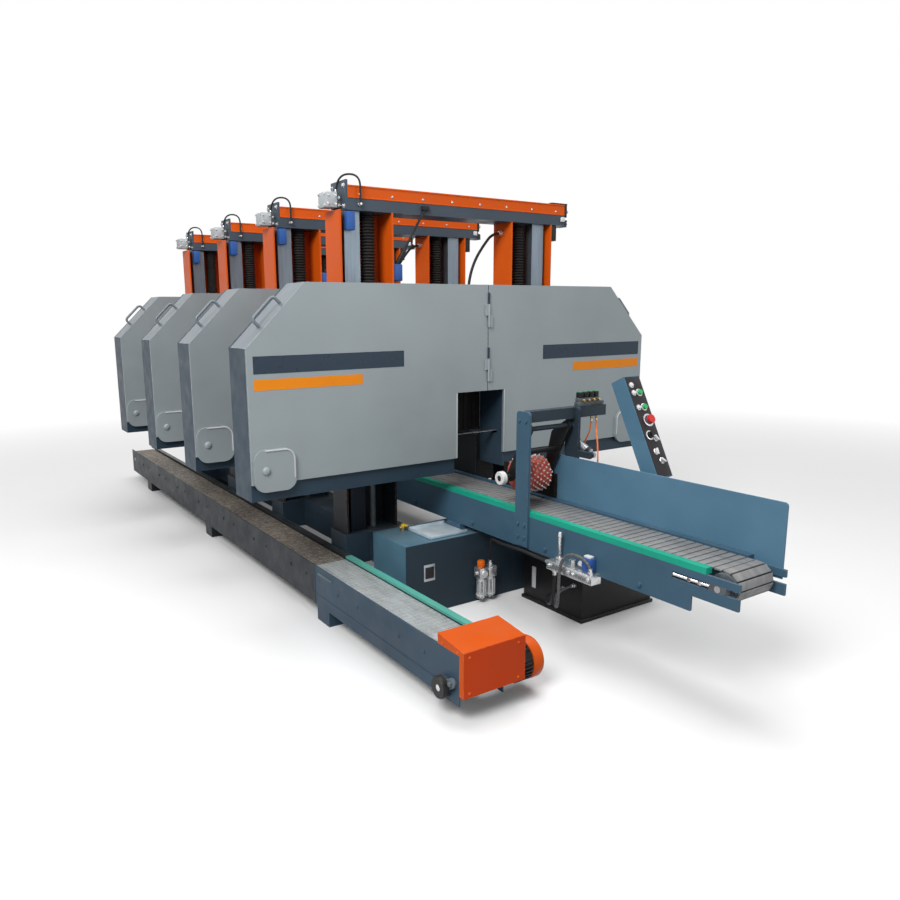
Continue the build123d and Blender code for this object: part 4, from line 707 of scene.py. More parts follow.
def surface(name, colour, roughness, metallic=0.0, mottle=0.10, mottle_scale=4.0, stretch=(1.0, 1.0, 1.0),
            wear_and_highlight=None, edge_width=0.0025, dust=0.0, grain=0.0002, grain_scale=260.0, specular=0.22, zones=()):
    """A finish with clouded colour and gloss, fine relief, lighter edges that stand for chipped paint and a
    painted highlight, and settled dust.

    Each zone is an axis, a place on it and the colour past that place; some zones lay painted shade and
    painted light.  Gives the main shader.
    """
    tree, shader = new_material(name)
    cloud = remap(tree, noise(tree, mottle_scale, cloud_detail, stretch), *cloud_band)
    base = mix(tree, cloud, shade(colour, 1.0 - mottle), shade(colour, 1.0 + mottle))
    for axis, place, other in zones:
        past = mix(tree, cloud, shade(other, 1.0 - mottle), shade(other, 1.0 + mottle))
        base = mix(tree, beyond(tree, axis, place), base, past)
    if wear_and_highlight:
        base = mix(tree, edge_wear_and_highlight_mask(tree, edge_width), base, wear_and_highlight)
    if dust:
        base = mix(tree, dust_mask(tree, dust), base, dust_colour)
    gloss = noise(tree, mottle_scale * gloss_scale, gloss_detail, stretch)
    rough = [min(1.0, roughness * share) for share in gloss_swing]
    feed(tree, shader, {
        "Base Color": base, "Roughness": remap(tree, gloss, *cloud_band, *rough), "Metallic": metallic,
        "Specular IOR Level": specular,
        "Normal": relief(tree, noise(tree, grain_scale, grain_detail, stretch), grain)})
    return shader


# Finishes
def sprayed_paints():
    """Sprayed paints: colour, chipped and highlit edge, dust, roughness, clouding and zones; some zones lay
    painted shade and painted light.
    """
    paints = {
        "steel_blue_paint": (blue_colour, shade(blue_colour, 2.0), 0.22, 0.42, 0.12, ()),
        # fence: painted shade on its far end
        "fence_blue_paint": (fence_colour, shade(fence_colour, 1.7), 0.12, 0.42, 0.12,
                             (("Y", fence_end, painted_shade_colour),)),
        # return frame: painted shade on its rear section
        "return_blue_paint": (return_colour, shade(return_colour, 2.0), 0.12, 0.45, 0.14,
                              (("Y", return_shade_start, painted_shade_colour),)),
        # bed: painted shade on the front face and the rear, painted light on the front box's sides
        "bed_blue_paint": (bed_shade_colour, shade(blue_colour, 1.8), 0.16, 0.42, 0.12,
                           (("Y", bed_front + skin_depth, bed_box_lit_colour),
                            ("Y", bed_box_rear + skin_depth, bed_shade_colour))),
        "beam_slate_paint": (beam_colour, shade(beam_colour, 2.0), 0.20, 0.42, 0.10, ()),
        "dark_blue_paint": (dark_blue_colour, shade(dark_blue_colour, 2.2), 0.14, 0.45, 0.14, ()),
        # portal: painted shade on everything right of the left post's outer face
        "portal_blue_paint": (blue_colour, shade(blue_colour, 2.0), 0.16, 0.42, 0.12,
                              (("X", -feed_plate_x + skin_depth, portal_shade_colour),)),
    }
    for name, (colour, worn_highlit, dust, roughness, mottle, zones) in paints.items():
        surface(name, colour, roughness, mottle=mottle, mottle_scale=3.0, wear_and_highlight=worn_highlit, dust=dust, grain=0.0003,
                zones=zones)


def orange_enamels():
    """Smooth orange enamels: colour, chipped and highlit edge, dust and zones; the zones lay painted shade on
    the column feet and on the chain guard.
    """
    enamels = {
        "orange_paint": (orange_colour, orange_worn_highlit, 0.10, ()),
        # columns: near-black painted shade on the feet, orange above
        "column_paint": (painted_shade_colour, column_worn_highlit, 0.10, (("Z", foot_zone, orange_colour),)),
        # chain guard: painted shade, deep red on its front face and a darker orange on its top and sides
        "guard_orange_paint": (guard_front_shade_colour, orange_worn_highlit, 0.06,
                               (("Y", guard_front + skin_depth, shade(orange_colour, 0.85)),)),
    }
    for name, (colour, worn_highlit, dust, zones) in enamels.items():
        surface(name, colour, 0.34, mottle=0.07, mottle_scale=2.5, wear_and_highlight=worn_highlit, dust=dust, grain=0.00025,
                specular=0.12, zones=zones)


def door_paints():
    """Silver door paint, plain and with painted shade on the flanges behind the face of each head's doors;
    their lighter edges also paint a highlight along the folds.
    """
    paints = {"door_silver": ()}
    for head in head_range:
        # painted shade on the flanges behind each door's face
        paints[f"door_silver_{head}"] = (("Y", head_shift(head) + skin_depth, door_flange_shade_colour),)
    for name, zones in paints.items():
        surface(name, door_colour, 0.36, metallic=0.12, mottle=0.06, mottle_scale=2.2,
                wear_and_highlight=shade(door_colour, 1.7), edge_width=0.003, dust=0.12, grain=0.00025, specular=0.3,
                zones=zones)


def bare_metals():
    """Ground or rolled metals: colour, roughness, how their scratches are drawn out, and zones; the guide
    posts carry painted shade on their feet.
    """
    metals = {
        "satin_steel": ((0.42, 0.45, 0.48), 0.34, (6.0, 6.0, 6.0), ()),
        "bright_steel": ((0.62, 0.63, 0.64), 0.26, (9.0, 9.0, 9.0), ()),
        "blade_steel": ((0.46, 0.47, 0.49), 0.30, (0.8, 12.0, 12.0), ()),
        # guide posts: near-black painted shade on the feet, steel above
        "post_steel": (painted_shade_colour, 0.42, (14.0, 14.0, 0.8), (("Z", foot_zone, post_colour),)),
        "brass": ((0.56, 0.40, 0.16), 0.32, (5.0, 5.0, 5.0), ()),
    }
    for name, (colour, roughness, stretch, zones) in metals.items():
        surface(name, colour, roughness, metallic=0.85, mottle=0.14, mottle_scale=6.0, stretch=stretch,
                wear_and_highlight=shade(colour, 1.35), grain=0.00006, grain_scale=420.0, zones=zones)


def belt_slats():
    """Worn belt slats, scuffed along the feed and dusty: colour, lighter edge and zones; the return belt's
    rear is darkened with sawdust and painted shade.
    """
    slats = {
        "feed_slat": ((0.24, 0.245, 0.250), (0.40, 0.40, 0.39), ()),
        # return belt: sawdust and painted shade on its rear section
        "return_slat": ((0.36, 0.39, 0.40), (0.58, 0.60, 0.60), (("Y", return_shade_start, sawdust_and_shade_colour),)),
    }
    for name, (colour, edge, zones) in slats.items():
        surface(name, colour, 0.52, metallic=0.25, mottle=0.22, mottle_scale=9.0, stretch=(3.0, 0.6, 1.0),
                wear_and_highlight=edge, edge_width=0.002, dust=0.35, grain=0.0003, grain_scale=180.0, zones=zones)


def smooth_plastics():
    """Films, lamps, knobs and tubes: colour, roughness, clouding, relief and gloss."""
    plastics = {
        "slate_film": ((0.028, 0.046, 0.070), 0.30, 0.05, 0.00008, 0.22),
        "amber_film": ((0.84, 0.255, 0.006), 0.30, 0.04, 0.00008, 0.22),
        # pale edge finish: a painted highlight on the cover beads and down the notch edges
        "edge_highlight_paint": ((0.50, 0.52, 0.53), 0.40, 0.08, 0.0001, 0.22),
        "knob_orange": ((0.78, 0.16, 0.012), 0.34, 0.06, 0.0001, 0.22),
        "signal_red": ((0.62, 0.022, 0.020), 0.32, 0.08, 0.0001, 0.4),
        "signal_yellow": ((0.80, 0.52, 0.02), 0.35, 0.06, 0.0001, 0.22),
        "lamp_green": ((0.02, 0.42, 0.12), 0.25, 0.06, 0.00006, 0.5),
        "lamp_white": ((0.72, 0.74, 0.74), 0.25, 0.04, 0.00006, 0.5),
        "sensor_blue": ((0.035, 0.110, 0.36), 0.36, 0.08, 0.0001, 0.22),
        "orange_tube": ((0.82, 0.20, 0.03), 0.28, 0.05, 0.00005, 0.4),
    }
    for name, (colour, roughness, mottle, grain, specular) in plastics.items():
        surface(name, colour, roughness, mottle=mottle, grain=grain, specular=specular)


def single_finishes():
    """Finishes of their own: castings, motors, rubber, rollers and sheet."""
    surface("cast_iron_grey", (0.10, 0.115, 0.125), 0.55, metallic=0.3, mottle=0.2, mottle_scale=16.0,
            wear_and_highlight=(0.22, 0.23, 0.24), dust=0.1, grain=0.0010, grain_scale=120.0)
    surface("motor_grey", (0.085, 0.10, 0.118), 0.45, mottle=0.12, wear_and_highlight=(0.2, 0.22, 0.24), dust=0.2)
    surface("motor_box_grey", (0.46, 0.49, 0.51), 0.38, mottle=0.08, wear_and_highlight=(0.70, 0.72, 0.73), dust=0.08)
    surface("black_paint", (0.012, 0.012, 0.013), 0.40, mottle=0.25, wear_and_highlight=(0.07, 0.07, 0.07), dust=0.12)
    surface("panel_black", (0.020, 0.017, 0.020), 0.38, mottle=0.2, mottle_scale=10.0,
            wear_and_highlight=(0.10, 0.10, 0.10), edge_width=0.001, dust=0.06, grain=0.0001)
    surface("white_enamel", (0.74, 0.74, 0.73), 0.35, mottle=0.04, wear_and_highlight=(0.45, 0.44, 0.42), dust=0.06)
    surface("black_rubber", (0.014, 0.012, 0.012), 0.68, mottle=0.25, mottle_scale=20.0, dust=0.16,
            grain=0.0004)
    surface("cable_black", (0.016, 0.016, 0.017), 0.5, mottle=0.15, dust=0.06)
    # edge strips: painted shade on the return conveyor's strip along its rear section
    surface("strip_plastic", teal_colour, 0.38, mottle=0.12, mottle_scale=6.0, stretch=(2.0, 0.4, 2.0),
            dust=0.10, grain=0.00015, zones=(
                ("Y", return_shade_start, painted_shade_colour), ("X", return_right, green_colour),
                ("X", 0.0, blue_colour)))
    surface("roller_white", (0.70, 0.66, 0.63), 0.48, mottle=0.3, mottle_scale=26.0, wear_and_highlight=(0.30, 0.27, 0.25),
            dust=0.1, grain=0.0005)
    surface("roller_red", (0.50, 0.085, 0.060), 0.45, mottle=0.35, mottle_scale=30.0, wear_and_highlight=(0.55, 0.45, 0.42),
            dust=0.1, grain=0.0004)
    surface("tray_steel", (0.58, 0.66, 0.71), 0.45, metallic=0.3, mottle=0.2, mottle_scale=12.0,
            wear_and_highlight=(0.55, 0.58, 0.60), dust=0.2, grain=0.0004)
    surface("flange_grey", (0.13, 0.165, 0.185), 0.5, metallic=0.3, mottle=0.2, mottle_scale=14.0,
            wear_and_highlight=(0.35, 0.37, 0.38), grain=0.0006)


def clear_plastic():
    """The filter's tinted clear bowls."""
    shader = surface("clear_bowl", (0.86, 0.88, 0.88), 0.12, mottle=0.05, grain=0.00004)
    shader.inputs["Transmission Weight"].default_value = 0.75
    shader.inputs["IOR"].default_value = 1.46


def braided():
    """A hose cover of fine crossing strands."""
    strand_scale = 420.0
    strand_band = (0.1, 0.6)
    dark = (0.05, 0.05, 0.055)
    light = (0.30, 0.31, 0.32)
    cover_scale = 30.0
    cover_roughness = (0.40, 0.62)
    tree, shader = new_material("braided_hose")
    place = wire(tree, "TexCoord", {}, "Object")
    weave = wire(tree, "TexVoronoi", {"Vector": place, "Scale": strand_scale}, "Distance")
    strands = remap(tree, weave, *strand_band)
    feed(tree, shader, {
        "Base Color": mix(tree, strands, light, dark), "Metallic": 0.35,
        "Roughness": remap(tree, noise(tree, cover_scale), *cloud_band, *cover_roughness),
        "Normal": relief(tree, strands, 0.0008)})


# Mesh helpers
def small_shape(mesh):
    """The points and faces of a small mesh, which is then let go."""
    mesh.verts.index_update()
    points = tuple(vert.co.copy() for vert in mesh.verts)
    faces = tuple(tuple(vert.index for vert in face.verts) for face in mesh.faces)
    mesh.free()
    return points, faces


def round_edges(mesh, edges, width):
    """Rounds some edges of a small mesh."""
    if width > 0.0:
        bmesh.ops.bevel(mesh, geom=list(edges), offset=width, segments=2, profile=0.5,
                        affect="EDGES", clamp_overlap=True)


@functools.lru_cache(maxsize=None)
def box_shape(size, bevel):
    """A box about the origin with rounded edges."""
    mesh = bmesh.new()
    bmesh.ops.create_cube(mesh, size=1.0, matrix=Matrix.Diagonal((*size, 1.0)))
    round_edges(mesh, mesh.edges, bevel)
    return small_shape(mesh)


@functools.lru_cache(maxsize=None)
def rod_shape(count, length, radius, end_radius, bevel):
    """A bar about the origin along Z with rounded rims."""
    mesh = bmesh.new()
    bmesh.ops.create_cone(mesh, cap_ends=True, segments=count, radius1=radius, radius2=end_radius,
                          depth=length)
    rims = [edge for edge in mesh.edges if any(len(face.verts) == count for face in edge.link_faces)]
    round_edges(mesh, rims, bevel)
    return small_shape(mesh)


def spot(point, axis=upward):
    """A place at a point, its own Z along the axis."""
    return Matrix.Translation(point) @ Vector(axis).to_track_quat("Z", "Y").to_matrix().to_4x4()


def in_metres(place, *lengths):
    """Lengths in the unit of a place, turned into metres and rounded so that equal solids share a shape."""
    return tuple(round(length * place.median_scale, 7) for length in lengths)


class Form:
    """Collects simple solids into one mesh, each at a place of its own and in the unit of that place."""

    def __init__(self):
        self.points = []
        self.faces = []

    def add(self, shape, place=here):
        """Adds points and faces."""
        points, faces = shape
        first = len(self.points)
        self.points.extend(place @ Vector(point) for point in points)
        self.faces.extend(tuple(first + number for number in face) for face in faces)

    def set_down(self, shape, place):
        """Adds a shape that is in metres at a place of any unit."""
        self.add(shape, place @ Matrix.Scale(1.0 / place.median_scale, 4))

    def box(self, low, high, bevel, place=here):
        """A box between two corners with rounded edges."""
        pairs = [sorted(pair) for pair in zip(low, high)]
        size = in_metres(place, *(pair[1] - pair[0] for pair in pairs))
        middle = [(pair[0] + pair[1]) / 2 for pair in pairs]
        self.set_down(box_shape(size, *in_metres(place, bevel)), place @ Matrix.Translation(middle))

    def rod(self, start, end, radius, count=28, end_radius=None, bevel=1.0, place=here):
        """A round or many-sided bar between two points with rounded rims."""
        start = Vector(start)
        along = Vector(end) - start
        last = radius if end_radius is None else end_radius
        shape = rod_shape(count, *in_metres(place, along.length, radius, last, bevel))
        self.set_down(shape, place @ spot(start + along / 2, along))

    def lathe(self, profile, place=here, count=48, closed=False):
        """A turned solid about the place's Z; the profile holds (radius, height) pairs."""
        points = []
        for radius, height in profile:
            for angle in evenly(0.0, 2.0 * math.pi / count, count):
                points.append((radius * math.cos(angle), radius * math.sin(angle), height))
        rings = len(profile)
        faces = []
        for ring in range(rings if closed else rings - 1):
            lower = ring * count
            upper = (ring + 1) % rings * count
            for number in range(count):
                following = (number + 1) % count
                faces.append((lower + number, lower + following, upper + following, upper + number))
        if not closed:
            faces.append(tuple(reversed(range(count))))
            faces.append(tuple(range((rings - 1) * count, rings * count)))
        self.add((points, faces), place)

    def plate(self, outline, thickness, bevel, place):
        """A flat plate of the given outline, raised along the place's Z."""
        mesh = bmesh.new()
        lower = [mesh.verts.new(place @ Vector((across, up, 0.0))) for across, up in outline]
        upper = [mesh.verts.new(place @ Vector((across, up, thickness))) for across, up in outline]
        mesh.faces.new(list(reversed(lower)))
        mesh.faces.new(upper)
        for number, vert in enumerate(lower):
            following = (number + 1) % len(lower)
            mesh.faces.new((vert, lower[following], upper[following], upper[number]))
        round_edges(mesh, mesh.edges, *in_metres(place, bevel))
        self.add(small_shape(mesh))

    def bolt(self, point, axis, size, place):
        """A hex head on its washer; size is across the flats."""
        foot = Vector(point)
        axis = Vector(axis).normalized()
        for (wide, top, rounding), sides_round in ((washer_shares, washer_sides), (hex_shares, hex_sides)):
            end = Vector(point) + axis * size * top
            self.rod(foot, end, size * wide, sides_round, bevel=size * rounding, place=place)
            foot = end

    def dome(self, point, axis, radius, height, place=here):
        """A low dome."""
        angles = evenly(0.0, math.pi / 2 / dome_steps, dome_steps)
        profile = [(radius * math.cos(angle), height * math.sin(angle)) for angle in angles]
        self.lathe(profile, place @ spot(point, axis), dome_sides)

    def ring(self, point, axis, count, low, high, bevel, place):
        """A box repeated evenly round an axis."""
        base = place @ spot(point, axis)
        for angle in evenly(0.0, 2.0 * math.pi / count, count):
            self.box(low, high, bevel, base @ Matrix.Rotation(angle, 4, "Z"))

    def motor(self, point, axis, radius, length, place):
        """A fan-cooled motor from its flange end: ribbed body, end shields and fan cowl."""
        self.lathe(scaled(radius, length, motor_profile), place @ spot(point, axis))
        low = (radius * motor_core - fin_root, -fin_half, length * fin_span[0])
        high = (radius * motor_shell, fin_half, length * fin_span[1])
        self.ring(point, axis, motor_fins, low, high, fin_bevel, place)

    def solids(self, boxes=(), rods=(), bolts=(), domes=(), turned=(), fins=(), motors=(), plates=(),
               place=millimetres):
        """Adds rows of solids; bolts and domes stand at every mix of their X, Y and Z spots."""
        for row in boxes:
            self.box(*row, place=place)
        for row in rods:
            self.rod(*row, place=place)
        for axis, size, *spots in bolts:
            for point in itertools.product(*spots):
                self.bolt(point, axis, size, place)
        for axis, radius, height, *spots in domes:
            for point in itertools.product(*spots):
                self.dome(point, axis, radius, height, place)
        for point, axis, count, closed, profile in turned:
            self.lathe(profile, place @ spot(point, axis), count, closed)
        for row in fins:
            self.ring(*row, place=place)
        for row in motors:
            self.motor(*row, place=place)
        for point, axis, thickness, bevel, outline in plates:
            self.plate(outline, thickness, bevel, place @ spot(point, axis))

    def piece(self, name, finish, slot, body="base", smooth=35.0):
        """Turns the form into a piece that rides on a body."""
        mesh = bpy.data.meshes.new(name)
        mesh.from_pydata(self.points, [], self.faces)
        work = bmesh.new()
        work.from_mesh(mesh)
        bmesh.ops.recalc_face_normals(work, faces=work.faces)
        work.to_mesh(mesh)
        work.free()
        mesh.shade_smooth()
        mesh.set_sharp_from_angle(angle=math.radians(smooth))
        return settle(name, mesh, finish, body)


def settle(name, data, finish, body):
    """Links a new piece to the scene, paints it and hangs it on its body."""
    data.materials.append(materials[finish])
    made = bpy.data.objects.new(name, data)
    scene.collection.objects.link(made)
    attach(made, body)
    if name in stands_for:
        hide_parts(stands_for[name])
    return made


def hose(name, points, radius, finish, body="base"):
    """A smooth tube along a list of points."""
    curve = bpy.data.curves.new(name, "CURVE")
    curve.dimensions = "3D"
    curve.bevel_depth = radius
    curve.bevel_resolution = 5
    curve.resolution_u = 10
    curve.use_fill_caps = True
    spline = curve.splines.new("NURBS")
    spline.points.add(len(points) - 1)
    for point, place in zip(spline.points, points):
        point.co = (*place, 1.0)
    spline.order_u = 3
    spline.use_endpoint_u = True
    return settle(name, curve, finish, body)


def make_fittings(table):
    """Makes each piece of a table, its solids repeated at every place."""
    for name, (finish, slot, places, solids) in table.items():
        form = Form()
        for place in places:
            form.solids(**solids, place=place)
        form.piece(name, finish, slot, riders.get(name, "base"))


# Stage
def seen_rays(tree):
    """One where a ray comes from the camera, a gloss or a glass, and nought elsewhere."""
    rays = tree.nodes.new("ShaderNodeLightPath").outputs
    seen = rays["Is Camera Ray"]
    for output in ("Is Glossy Ray", "Is Transmission Ray"):
        seen = wire(tree, "Math", {0: seen, 1: rays[output]}, operation="MAXIMUM")
    return seen


def make_world():
    """Even white surroundings; the camera, gloss and glass see plain white."""
    world = bpy.data.worlds.new("studio")
    scene.world = world
    world.use_nodes = True
    tree = world.node_tree
    strength = remap(tree, seen_rays(tree), 0.0, 1.0, world_strength, 1.0)
    feed(tree, tree.nodes["Background"], {"Color": (1.0, 1.0, 1.0, 1.0), "Strength": strength})


def make_floor():
    """A pale floor that fades to white away from the machine and throws little light back on it."""
    tree, shader = new_material("pale_floor")
    cloud = remap(tree, noise(tree, floor_cloud_scale), *cloud_band)
    base = mix(tree, cloud, shade(floor_colour, 1.0 - floor_cloud), shade(floor_colour, 1.0 + floor_cloud))
    seen = seen_rays(tree)
    feed(tree, shader, {
        "Base Color": mix(tree, seen, shade(floor_colour, floor_bounce), base), "Roughness": floor_roughness,
        "Specular IOR Level": floor_specular})
    place = wire(tree, "TexCoord", {}, "Object")
    distance = wire(tree, "VectorMath", {0: place}, "Value", operation="LENGTH")
    white = wire(tree, "Emission", {"Strength": remap(tree, seen, 0.0, 1.0, floor_bounce, 1.0)})
    fade = remap(tree, distance, *floor_fade)
    blend = wire(tree, "MixShader", {"Fac": fade, 1: shader.outputs["BSDF"], 2: white})
    feed(tree, tree.nodes["Material Output"], {"Surface": blend})
    mesh = bpy.data.meshes.new("floor")
    corners = [(-floor_half, -floor_half, 0), (floor_half, -floor_half, 0),
               (floor_half, floor_half, 0), (-floor_half, floor_half, 0)]
    mesh.from_pydata(corners, [], [(0, 1, 2, 3)])
    mesh.materials.append(materials["pale_floor"])
    floor = bpy.data.objects.new("floor", mesh)
    scene.collection.objects.link(floor)


def make_lamps():
    """Soft area lamps aimed at the machine."""
    for name, place, size, power in lamp_settings:
        lamp = bpy.data.lights.new(name, "AREA")
        lamp.shape = "DISK"
        lamp.size = size
        lamp.energy = power
        holder = bpy.data.objects.new(name, lamp)
        holder.location = place
        aim = Vector(lamp_target) - Vector(place)
        holder.rotation_euler = aim.to_track_quat("-Z", "Y").to_euler()
        scene.collection.objects.link(holder)


def make_camera():
    """The photograph's camera."""
    yaw = math.radians(camera_yaw)
    pitch = math.radians(camera_pitch)
    roll = math.radians(camera_roll)
    level = Vector((math.cos(yaw), -math.sin(yaw), 0.0))
    ahead = Vector((math.sin(yaw) * math.cos(pitch), math.cos(yaw) * math.cos(pitch), -math.sin(pitch)))
    above = level.cross(ahead)
    right = math.cos(roll) * level + math.sin(roll) * above
    up = right.cross(ahead)
    lens = bpy.data.cameras.new("photo_camera")
    lens.sensor_width = sensor_width
    lens.lens = focal_pixels / frame_pixels * sensor_width
    lens.shift_x = 0.5 - principal_point[0] / frame_pixels
    lens.shift_y = principal_point[1] / frame_pixels - 0.5
    lens.clip_end = camera_reach
    camera = bpy.data.objects.new("photo_camera", lens)
    columns = Matrix((right, up, -ahead)).transposed().to_4x4()
    camera.matrix_world = Matrix.Translation(camera_place) @ columns
    scene.collection.objects.link(camera)
    scene.camera = camera


def paint_nodes():
    """Gives the nodes of the frame their finishes."""
    for finish, nodes in node_finishes.items():
        for node in nodes:
            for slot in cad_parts[node].material_slots:
                slot.material = materials[finish]


# Belts and blades
def belt_line(rounds):
    """Points round the hull of circles (y, z, radius), given in clockwise order seen from the right."""
    normals = []
    for (y0, z0, r0), (y1, z1, r1) in zip(rounds, (*rounds[1:], rounds[0])):
        along = Vector((y1 - y0, z1 - z0))
        span = along.length
        along.normalize()
        share = (r0 - r1) / span
        left = Vector((-along.y, along.x))
        normals.append(along * share + left * math.sqrt(1.0 - share * share))
    points = []
    for number, (y, z, radius) in enumerate(rounds):
        first = math.atan2(normals[number - 1].y, normals[number - 1].x)
        last = math.atan2(normals[number].y, normals[number].x)
        while last > first:
            last -= 2.0 * math.pi
        steps = max(2, int((first - last) / math.radians(belt_turn_step)))
        for angle in evenly(first, (last - first) / steps, steps + 1):
            points.append(Vector((y + radius * math.cos(angle), z + radius * math.sin(angle))))
    return points


def along_line(points, pitch):
    """Places every pitch along a closed line: point and heading."""
    closed = points + [points[0]]
    total = sum((after - before).length for before, after in zip(closed, closed[1:]))
    count = int(total / pitch)
    step = total / count
    places = []
    reached = 0.0
    wanted = 0.0
    for before, after in zip(closed, closed[1:]):
        run = (after - before).length
        if run == 0.0:
            continue
        heading = (after - before) / run
        while wanted < reached + run and len(places) < count:
            places.append((before + heading * (wanted - reached), heading))
            wanted += step
        reached += run
    return places


def slat_belt(name, rounds, span, slats, ribs, finish):
    """An endless belt of cross slats on a thin carcass, with raised ribs on every slat."""
    belt = Form()
    carcass = Form()
    pitch, length, thickness = slats
    middle = (span[0] + span[1]) / 2
    half = (span[1] - span[0]) / 2
    rib_pitch = 2.0 * half / max(1, ribs)
    for point, heading in along_line(belt_line(rounds), pitch):
        place = Matrix((
            (1.0, 0.0, 0.0, middle),
            (0.0, heading.x, -heading.y, point.x),
            (0.0, heading.y, heading.x, point.y),
            (0.0, 0.0, 0.0, 1.0),
        ))
        belt.box((-half, -length / 2, -thickness), (half, length / 2, 0.0), slat_bevel, place)
        carcass.box((carcass_inset - half, -pitch / 2, -thickness),
                    (half - carcass_inset, pitch / 2, -thickness * carcass_share), 0.0, place)
        for x in evenly(rib_pitch / 2 - half, rib_pitch, ribs):
            belt.box((x - rib_half, -length * rib_share, rib_root),
                     (x + rib_half, length * rib_share, rib_top), 0.0, place)
    carcass.piece(f"{name}_carcass", "black_rubber", "belt_grey")
    belt.piece(name, finish, "belt_grey")


def toothed_blade(head):
    """The endless blade with its teeth along the infeed edge."""
    line = belt_line([(-wheel_reach, wheel_height, wheel_radius), (wheel_reach, wheel_height, wheel_radius)])
    places = along_line(line, tooth_pitch / 2)
    if len(places) % 2:
        places = places[:-1]
    shift = head_shift(head)
    points = []
    for number, (point, heading) in enumerate(places):
        outward = Vector((-heading.y, heading.x))
        front = blade_front + shift + (tooth_depth if number % 2 else 0.0)
        for lift in (0.0, blade_thickness):
            place = point + outward * lift
            points.extend([(place.x, front, place.y), (place.x, blade_rear + shift, place.y)])
    row = 4
    faces = []
    for start in range(0, len(points), row):
        following = (start + row) % len(points)
        for first, second in ((0, 1), (1, 3), (3, 2), (2, 0)):
            faces.append((start + first, start + second, following + second, following + first))
    form = Form()
    form.add((points, faces))
    form.piece(f"toothed_blade_{head}", "blade_steel", "blade_steel", f"head_{head}")


# Doors
def door_stripes():
    """Two straight bands of film on each door of the first head."""
    for side, sign in sides.items():
        outer = door_outer[side] - sign * stripe_inset
        for name, (height, width, length) in stripe_sizes.items():
            form = Form()
            form.box((outer, -stripe_offset - stripe_thickness, height - width / 2),
                     (outer - sign * length, -stripe_offset, height + width / 2), 0.0)
            form.piece(f"{side}_{name}_band", f"{name}_film", "door_silver", f"{side}_door_1")


def corner_cover(side, head):
    """The rolled upper and inner edge of a door's corner cover, painted pale as a highlight, and the domed
    bolt in its middle.
    """
    sign = sides[side]
    body = f"{side}_door_{head}"
    outer = door_outer[side] - sign * cover_side_inset
    inner = outer - sign * cover_width
    low = door_bottom - cover_hang
    top = low + cover_height
    y = head_shift(head) - cover_proud
    points = [(outer - sign * cover_corner, y, top - bead_inset)]
    center = (inner + sign * cover_corner, top - cover_corner)
    radius = cover_corner - bead_inset
    for angle in evenly(0.0, math.pi / 2 / bead_steps, bead_steps + 1):
        points.append((center[0] - sign * radius * math.sin(angle), y, center[1] + radius * math.cos(angle)))
    points.append((inner + sign * bead_inset, y, low + cover_corner))
    hose(f"{side}_cover_bead_{head}", points, bead_radius, "edge_highlight_paint", body)
    form = Form()
    middle = (door_outer[side] - sign * cover_dome_inset, y, low + cover_height / 2)
    form.dome(middle, to_front, *cover_dome)
    form.piece(f"{side}_cover_dome_{head}", "door_silver", "door_silver", body)


def notch_highlight_strips(head):
    """Pale strips down both sides of the notch, a painted highlight along its edges."""
    shift = head_shift(head)
    for side, sign in sides.items():
        form = Form()
        edge = sign * highlight_half_gap
        form.box((edge, shift + highlight_depth[0], door_bottom + highlight_foot),
                 (edge + sign * highlight_width, shift + highlight_depth[1], highlight_top), highlight_bevel)
        form.piece(f"{side}_notch_highlight_{head}", "edge_highlight_paint", "door_silver", f"{side}_door_{head}")


# Saw heads and gantries
def notch_curtain(head):
    """Rubber strips behind the notch and a flap right of it, held by clamp bars on the back plate."""
    for name, (finish, solids) in notch_fittings.items():
        form = Form()
        form.solids(**solids, place=from_point(0.0, head_shift(head), 0.0))
        form.piece(f"{name}_{head}", finish, finish, f"head_{head}")


def blade_motor(head):
    """Finned motor behind the drive wheel, with flange, bolts, terminal box and gland."""
    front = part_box(f"blade_motor_{head}")[0].y
    form = Form()
    form.solids(**blade_motor_solids, place=from_point(-wheel_reach, front, wheel_height))
    form.piece(f"ribbed_motor_{head}", "motor_grey", "motor_grey", f"head_{head}")


def bellows():
    """Pleated bellows that hang round the lift screws."""
    low = bellows_bottom
    high = beam_bottom - bellows_collar
    end = beam_bottom - bellows_gap
    pitch = (high - low) / pleat_count
    profile = [(bellows_bore, low), (pleat_inner, low)]
    for base in evenly(low, pitch, pleat_count):
        profile.extend((radius, base + share * pitch) for radius, share in pleat)
    profile.extend([(pleat_outer, high), (pleat_outer, end), (bellows_bore, end)])
    form = Form()
    for head in head_range:
        for sign in sides.values():
            place = spot((sign * screw_x, screw_y + head_shift(head), 0.0))
            form.lathe(profile, place, bellows_sides, True)
    form.piece("pleated_bellows", "black_rubber", "black_rubber", smooth=bellows_smooth)


